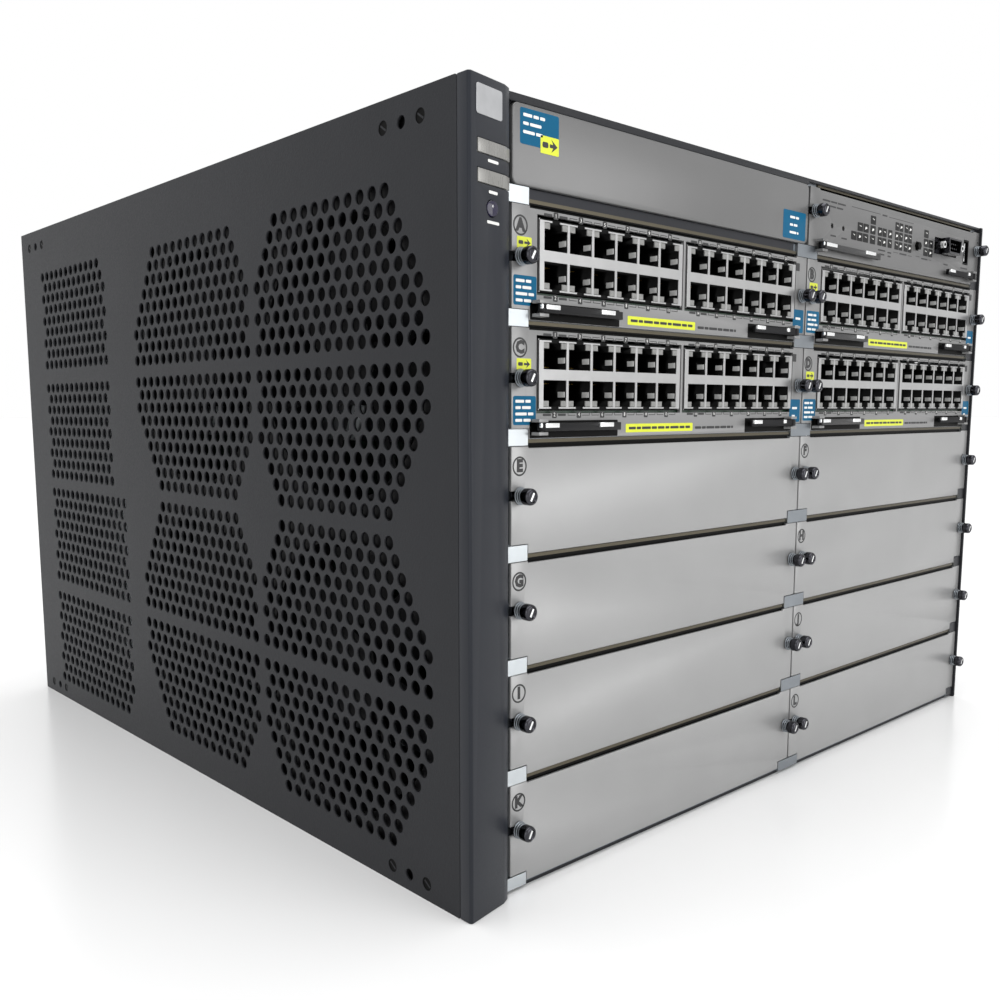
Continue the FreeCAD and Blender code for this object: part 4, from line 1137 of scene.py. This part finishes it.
class MakeScrews(bpy.types.Operator):
    """Builds the captive screws with their coil springs."""

    bl_idname = "chassis.captive_screws"
    bl_label = "Captive screws"

    def execute(self, context):
        pattern = self.screw()
        blanks = bmesh.new()
        for row in range(2, SLOT_ROWS):
            for column in (0, 1):
                for x in screw_xs(column):
                    add_copy(blanks, pattern, Matrix.Translation((x, FACE_Y, screw_z(row))))
        self.place(blanks, "blank_plate_screws", "chassis")
        for name, column, row in PLUG_IN_MODULES:
            for side, x in zip(("left", "right"), screw_xs(column)):
                shape = bmesh.new()
                add_copy(shape, pattern, Matrix.Translation((x, FACE_Y, screw_z(row))))
                node = name + "_screw_" + side
                self.place(shape, node, node)
        bpy.data.meshes.remove(pattern)
        return {"FINISHED"}

    def place(self, shape, node, body):
        """Puts the turned screws in place of a CAD node."""
        made = make_piece(node + "_turned", shape, body,
                          ("dark_nickel", "worn_bright", "dull_zinc"), smooth=True)
        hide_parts(node)

    def screw(self):
        """A shank and a slotted head with a spring behind it, as one mesh about the screw's own axis; the
        slot is a bright bar, a painted glint.
        """
        shape = bmesh.new()
        head = sizes().screw_head
        reach = FACE_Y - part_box("module_a_screw_left")[0].y
        rise = reach * 0.43
        shank, core, point = 1.5 * MM, 2.4 * MM, 4.4 * MM
        points = [(0, -point), (1.2 * MM, -point), (shank, 0.4 * MM - point), (shank, 0.3 * MM),
                  (core, 0.3 * MM), (core, rise), (head * 0.8, rise),
                  (head, rise + 0.5 * MM), (head, reach - 1.3 * MM), (head * 0.95, reach - 0.6 * MM),
                  (head * 0.8, reach - 0.15 * MM), (head * 0.66, reach - 0.02 * MM),
                  (head * 0.58, reach - 0.5 * MM), (0, reach - 0.5 * MM)]
        verts = [shape.verts.new((radius, -out, 0)) for radius, out in points]
        edges = [shape.edges.new(pair) for pair in zip(verts, verts[1:])]
        bmesh.ops.spin(shape, geom=verts + edges, cent=(0, 0, 0), axis=(0, 1, 0), angle=TURN, steps=24,
                       use_merge=True)
        bmesh.ops.remove_doubles(shape, verts=shape.verts, dist=1e-6)
        # Painted glint: a bright bar across the head's recess, where the slot is.
        slot = Matrix.Translation((0, 0.4 * MM - reach, 0)) @ Matrix.Rotation(0.5, 4, "Y")
        bar = bmesh.ops.create_cube(shape, size=MM, matrix=slot @ Matrix.Diagonal((0.9, 0.3, 3.4, 1)))
        paint(bar["verts"], 1)
        self.spring(shape, rise - 0.3 * MM)
        bmesh.ops.recalc_face_normals(shape, faces=shape.faces)
        mesh = bpy.data.meshes.new("screw")
        shape.to_mesh(mesh)
        shape.free()
        return mesh

    def spring(self, shape, rise):
        """A coil that narrows from the plate to the head."""
        wire, turns, steps = 0.33 * MM, 3, 16
        wide, taper = 3.4 * MM, 0.16
        start = Matrix.Translation((wide, -wire, 0))
        ring = bmesh.ops.create_circle(shape, cap_ends=False, segments=6, radius=wire,
                                       matrix=start)["verts"]
        edges = list({e for v in ring for e in v.link_edges})
        before = set(shape.verts)
        bmesh.ops.spin(shape, geom=ring + edges, cent=(0, 0, 0), axis=(0, -1, 0),
                       dvec=(0, -rise / (turns * steps), 0), angle=TURN * turns, steps=turns * steps)
        coil = ring + [v for v in shape.verts if v not in before]
        for vert in coil:
            narrow = 1 + taper * vert.co.y / rise
            vert.co.x *= narrow
            vert.co.z *= narrow
        paint(coil, 2)


class MakeLevers(bpy.types.Operator):
    """Builds the extractor levers with their bright ends."""

    bl_idname = "chassis.levers"
    bl_label = "Levers"

    def execute(self, context):
        for name, _, _ in PLUG_IN_MODULES:
            for side in ("left", "right"):
                self.lever(name + "_lever_" + side, side == "left")
        return {"FINISHED"}

    def lever(self, node, left):
        """A dark bar with a bright sleeve near its pin and another towards its tip."""
        low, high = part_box(node)
        shape = start_from(node)
        rounding = 0.25 * MM
        soften(shape, shape.verts, rounding, 2)
        long, tall = high.x - low.x, high.z - low.z
        spans = ((0.01, 0.22), (0.71, 0.88)) if left else ((0.01, 0.19), (0.7, 0.76))
        for start, end in spans:
            sleeve = add_block(shape, (low.x + start * long, low.y + 0.03 * MM, low.z + 0.42 * tall),
                               (low.x + end * long, low.y + 2.6 * MM, high.z - 0.03 * MM), 1)
            soften(shape, sleeve, rounding, 2)
        made = make_piece(node + "_bar", shape, node, ("black_oxide", "worn_bright"),
                          smooth=True)
        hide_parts(node)


class MakeManagement(bpy.types.Operator):
    """Builds the management module's plate, light windows, sockets, buttons and marks."""

    bl_idname = "chassis.management"
    bl_label = "Management module"

    def execute(self, context):
        rounded_node("management_pressing", "management_faceplate", "management",
                     ("dark_satin",), 0.4 * MM)
        dress("management_board", "glass_epoxy")
        for node in ("reset_button", "clear_button", "select_button"):
            dress(node, "housing_black")
        self.windows()
        self.sockets()
        self.marks()
        return {"FINISHED"}

    def at(self, x, z):
        """A place on the management plate, from its left end and the rail under it."""
        return COLUMN_X[1] + x * MM, rail_z(0) + z * MM

    def windows(self):
        """Groups of small dark light windows, each with a pale symbol."""
        shape = bmesh.new()
        rise = 5.2 * MM
        groups = ((45.5, 9.9, 3, 1, 6.4), (52.1, 15.1, 2, 1, 6.4), (66.3, 9.9, 1, 3, 6.4),
                  (74.4, 9.9, 2, 2, 5.3), (86.4, 9.9, 1, 2, 5.3), (94.4, 9.8, 2, 3, 5.0),
                  (105.8, 9.8, 2, 3, 5.0), (131.5, 9.9, 2, 2, 6.3), (131.5, 20.3, 1, 1, 6.3))
        for left, low, columns, rows, pitch in groups:
            for i in range(columns):
                for j in range(rows):
                    x, z = self.at(left + i * pitch, low)
                    self.window(shape, x, z + j * rise, (pitch - 0.5) * MM, 1 if (i + j) % 2 else -1)
        make_piece("management_light_windows", shape, "management",
                   ("smoked_lens", "white_ink"))

    def window(self, shape, x, z, wide, turn):
        """A small dark window with a pale wedge where its symbol would be."""
        tall = 4.5 * MM
        frame_line = rounded_rectangle(x - wide / 2, x + wide / 2, z - tall / 2, z + tall / 2, 0.4 * MM, 2)
        print_on(shape, [frame_line], 0, FACE_Y, 0)
        wedge = [(x - 1.1 * MM, z - turn * 0.8 * MM), (x + 1.1 * MM, z - turn * 0.1 * MM),
                 (x + 1.1 * MM, z + 0.6 * MM), (x - 0.5 * MM, z + 0.8 * MM)]
        print_on(shape, [wedge], 0, FACE_Y, 0, 2, 1)

    def marks(self):
        """Fine bracket lines round the groups, and plain bars where words would be."""
        shape = bmesh.new()
        line, thick = 0.14 * MM, 0.4 * MM
        for x0, x1, z in ((42.1, 74.0, 24.4), (84.0, 114.3, 24.1), (91.0, 97.0, 5.9), (109.0, 114.0, 5.7),
                          (119.0, 124.0, 6.4), (136.0, 139.5, 5.9)):
            (a, low), (b, _) = self.at(x0, z), self.at(x1, z)
            line_mark(shape, a, b, low - line, low + line)
        for x0, x1, z in ((12.1, 19.6, 24.0), (20.4, 26.6, 24.0), (27.4, 35.6, 24.0), (12.1, 17.0, 21.7),
                          (17.8, 25.6, 21.7), (26.4, 33.0, 21.7), (21.2, 26.8, 7.3), (32.6, 38.2, 7.1),
                          (73.0, 81.5, 5.4), (74.6, 80.6, 3.2), (84.2, 88.6, 5.0), (84.6, 88.2, 3.0),
                          (76.4, 82.0, 24.3), (98.6, 107.4, 5.8), (126.4, 134.6, 5.8), (156.6, 162.4, 5.3),
                          (181.0, 191.0, 5.4), (203.6, 206.0, 23.0)):
            (a, low), (b, _) = self.at(x0, z), self.at(x1, z)
            bar = rounded_rectangle(a, b, low - thick, low + thick, 0.25 * MM, 2)
            print_on(shape, [bar], 0, FACE_Y, 0)
        make_piece("management_marks", shape, "management", ("black_ink",))

    def sockets(self):
        """The console's shell with its pins and posts, and the upright auxiliary socket."""
        low, high = opening("console_socket")
        aux_low, aux_high = opening("aux_socket")
        shape = start_from("management_sockets")
        soften(shape, shape.verts, 0.2 * MM, 1)
        for face in shape.faces:
            at = face.calc_center_median()
            inside = (low.x - 1.1 * MM < at.x < high.x + 1.1 * MM
                      and low.z - 0.6 * MM < at.z < high.z + 0.6 * MM
                      and low.y + 0.3 * MM < at.y < high.y + 0.5 * MM)
            face.material_index = 1 if inside or at.x > aux_low.x - 3.0 * MM else 0
        self.pins(shape, (low + high) / 2, high.y)
        self.posts(shape, (low + high) / 2, low.y)
        blade = (aux_low + aux_high) / 2
        add_block(shape, (blade.x - 1.3 * MM, aux_low.y + 0.6 * MM, aux_low.z + 0.8 * MM),
                  (blade.x - 0.3 * MM, aux_high.y - 0.1 * MM, aux_high.z - 0.8 * MM), 2)
        made = make_piece("management_socket_shells", shape, "management",
                          ("dark_nickel", "housing_black", "worn_bright"))
        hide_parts("management_sockets")

    def pins(self, shape, middle, back):
        """Nine pins in two rows, which stand on the back of the console socket."""
        out, long = (0, -1, 0), 3.6 * MM
        for row, count in ((1, 5), (-1, 4)):
            for i in range(count):
                x = middle.x + (i - (count - 1) / 2) * 2.6 * MM
                centre = (x, back - 1.7 * MM, middle.z + row * 1.3 * MM)
                add_round(shape, centre, out, 0.45 * MM, long, 10)

    def posts(self, shape, middle, front):
        """A screw post on each side of the console socket, with a black disc on its end, painted shade for
        the hole in it.
        """
        out = (0, -1, 0)
        for way in (-1, 1):
            x = middle.x + way * 12.5 * MM
            add_round(shape, (x, front + 2.1 * MM, middle.z), out, 2.0 * MM, 2.2 * MM, 20, material=2)
            add_round(shape, (x, front + 0.99 * MM, middle.z), out, 1.1 * MM, 0.1 * MM, 16, material=1)


class MakeFanTray(bpy.types.Operator):
    """Finishes the fan tray and its rotors."""

    bl_idname = "chassis.fan_tray"
    bl_label = "Fan tray"

    def execute(self, context):
        dress("fan_tray_frame", "filled_nylon")
        for i in range(1, 5):
            dress("fan_rotor_%d" % i, "filled_nylon")
        shape = bmesh.new()
        x = (PANEL_HIGH.x + COLUMN_X[0]) / 2
        for z in (CASE_HEIGHT * 0.15, CASE_HEIGHT * 0.85):
            self.thumb_screw(shape, x, z)
        make_piece("tray_thumb_screws", shape, "fan_tray",
                   ("dark_nickel", "housing_black"), smooth=True)
        return {"FINISHED"}

    def thumb_screw(self, shape, x, z):
        """A thumb screw that stands out of the rear, with a black disc on its end, painted shade for the
        recess in it.
        """
        out = (0, 1, 0)
        add_round(shape, (x, FLANGE_Y + 4.0 * MM, z), out, 4.2 * MM, 8.0 * MM, 24)
        add_round(shape, (x, FLANGE_Y + 8.2 * MM, z), out, 2.2 * MM, 0.4 * MM, 16, material=1)


class MakePowerSupplies(bpy.types.Operator):
    """Finishes the power supplies and adds their inlet pins and lights."""

    bl_idname = "chassis.power_supplies"
    bl_label = "Power supplies"

    def execute(self, context):
        for i in range(1, 5):
            node = "power_supply_%d" % i
            rounded_node(node + "_case", node, node, ("plated_steel",), 0.3 * MM)
            low, high = opening("inlet_%d" % i)
            self.inlet(node, low, high)
            self.lights(node, low, high)
        return {"FINISHED"}

    def inlet(self, node, low, high):
        """Three flat pins in the mains inlet, and the black rim round it."""
        shape = bmesh.new()
        middle = (low + high) / 2
        for across, rise in ((-7.0, -2.0), (7.0, -2.0), (0.0, 3.0)):
            pin = Vector((middle.x + across * MM, low.y, middle.z + rise * MM))
            add_block(shape, pin - Vector((1.0 * MM, 0.4 * MM, 2.0 * MM)),
                      pin + Vector((1.0 * MM, 10 * MM, 2.0 * MM)), 1)
        thick = 0.6 * MM
        place = Matrix.Translation((0, FLANGE_Y + thick / 2, 0)) @ ONTO_FRONT
        add_sheet(shape, [grown(low, high, 2 * MM), grown(low, high, 0.4 * MM)], thick, place)
        make_piece(node + "_inlet", shape, node, ("housing_black", "tin_shield"))

    def lights(self, node, low, high):
        """Two round status lights beside the inlet."""
        shape = bmesh.new()
        x = high.x + 8.0 * MM
        for rise in (0.0, 7.0):
            centre = (x, FLANGE_Y + 0.2 * MM, low.z + rise * MM)
            add_round(shape, centre, (0, 1, 0), 1.5 * MM, 0.6 * MM, 16)
        make_piece(node + "_lights", shape, node, ("frosted_lens",), smooth=True)


def grown(low, high, by):
    """Outline of a box's front, grown on every side."""
    return [(low.x - by, low.z - by), (high.x + by, low.z - by),
            (high.x + by, high.z + by), (low.x - by, high.z + by)]


class MakeStage(bpy.types.Operator):
    """Builds the studio floor, lights, sky and camera."""

    bl_idname = "chassis.stage"
    bl_label = "Stage"

    def execute(self, context):
        self.floor()
        self.sky()
        self.soft_light("key_light", (0.7, -2.2, 0.5), (0.0, 0.0, 0.05), 1.4, 17.0)
        self.soft_light("fill_light", (-1.2, -0.95, 0.4), (-0.22, -0.2, 0.15), 0.7, 3.0)
        self.overhead()
        self.camera()
        return {"FINISHED"}

    def floor(self):
        """A pale floor with a faint sheen."""
        shape = bmesh.new()
        bmesh.ops.create_grid(shape, x_segments=1, y_segments=1, size=20.0)
        mesh = bpy.data.meshes.new("studio_floor")
        shape.to_mesh(mesh)
        shape.free()
        floor = bpy.data.objects.new("studio_floor", mesh)
        bpy.context.collection.objects.link(floor)
        material, _ = start_material("floor_paint", colours().floor, 0.0, 0.22)
        mesh.materials.append(material)

    def sky(self):
        """A surround that is white to the eye and in reflections, and lights the object less."""
        world = bpy.data.worlds.new("studio")
        world.use_nodes = True
        lit = add_node(world, "ShaderNodeLightPath").outputs["Is Diffuse Ray"]
        strength = add_node(world, "ShaderNodeMapRange", {"Value": lit, "To Min": 1.0, "To Max": 0.4})
        background = world.node_tree.nodes["Background"].inputs
        background["Color"].default_value = (1.0, 1.0, 1.0, 1.0)
        world.node_tree.links.new(strength.outputs["Result"], background["Strength"])
        bpy.context.scene.world = world
        bpy.context.scene.view_settings.view_transform = "Standard"

    def soft_light(self, name, place, aim, size, power):
        """A square soft box that points at the aim."""
        lamp = bpy.data.lights.new(name, "AREA")
        lamp.shape = "SQUARE"
        lamp.size = size
        lamp.energy = power
        holder = bpy.data.objects.new(name, lamp)
        holder.location = place
        holder.rotation_euler = (Vector(aim) - Vector(place)).to_track_quat("-Z", "Y").to_euler()
        bpy.context.collection.objects.link(holder)

    def overhead(self):
        """Broad light from straight above, which whitens the floor out to the horizon."""
        lamp = bpy.data.lights.new("overhead_light", "SUN")
        lamp.energy = 2.5
        lamp.angle = math.radians(70)
        bpy.context.collection.objects.link(bpy.data.objects.new("overhead_light", lamp))

    def camera(self):
        """A camera low at the front left corner, with a slight shift for the framing."""
        lens = bpy.data.cameras.new("camera")
        lens.lens = 36.17
        lens.sensor_width = 36.0
        lens.shift_x = 0.015
        lens.shift_y = 0.040
        camera = bpy.data.objects.new("camera", lens)
        azimuth, elevation, roll = map(math.radians, (-42.44, 7.43, -0.06))
        camera.location = (-459.0 * MM, -495.2 * MM, 193.2 * MM)
        ahead = Vector((-math.sin(azimuth) * math.cos(elevation), math.cos(azimuth) * math.cos(elevation),
                        -math.sin(elevation)))
        level = ahead.to_track_quat("-Z", "Y")
        camera.rotation_mode = "QUATERNION"
        camera.rotation_quaternion = level @ Matrix.Rotation(roll, 4, "Z").to_quaternion()
        bpy.context.collection.objects.link(camera)
        bpy.context.scene.camera = camera


OPERATORS = (MakeSidePanels, MakeCase, MakeBezel, MakeNamePlate, MakeBlankPlates, MakePortModules, MakeScrews,
             MakeLevers, MakeManagement, MakeFanTray, MakePowerSupplies, MakeStage)


class ChassisPanel(bpy.types.Panel):
    """Lists the pieces of the switch."""

    bl_idname = "VIEW3D_PT_chassis"
    bl_label = "Chassis switch"
    bl_space_type = "VIEW_3D"
    bl_region_type = "UI"
    bl_category = "Chassis"

    def draw(self, context):
        for group in (context.scene.switch_sizes, context.scene.switch_colours):
            for name in group.__annotations__:
                self.layout.prop(group, name)
        for operator in OPERATORS:
            self.layout.operator(operator.bl_idname)


CLASSES = (SwitchSizes, SwitchColours) + OPERATORS + (ChassisPanel,)


def register():
    """Registers the classes and hangs the properties on the scene."""
    for cls in CLASSES:
        bpy.utils.register_class(cls)
    bpy.types.Scene.switch_sizes = bpy.props.PointerProperty(type=SwitchSizes)
    bpy.types.Scene.switch_colours = bpy.props.PointerProperty(type=SwitchColours)


def unregister():
    """Takes the properties and the classes away again."""
    del bpy.types.Scene.switch_colours
    del bpy.types.Scene.switch_sizes
    for cls in reversed(CLASSES):
        bpy.utils.unregister_class(cls)


def main():
    """Builds every piece."""
    register()
    for operator in OPERATORS:
        group, name = operator.bl_idname.split(".")
        getattr(getattr(bpy.ops, group), name)()


if __name__ == "__main__":
    main()
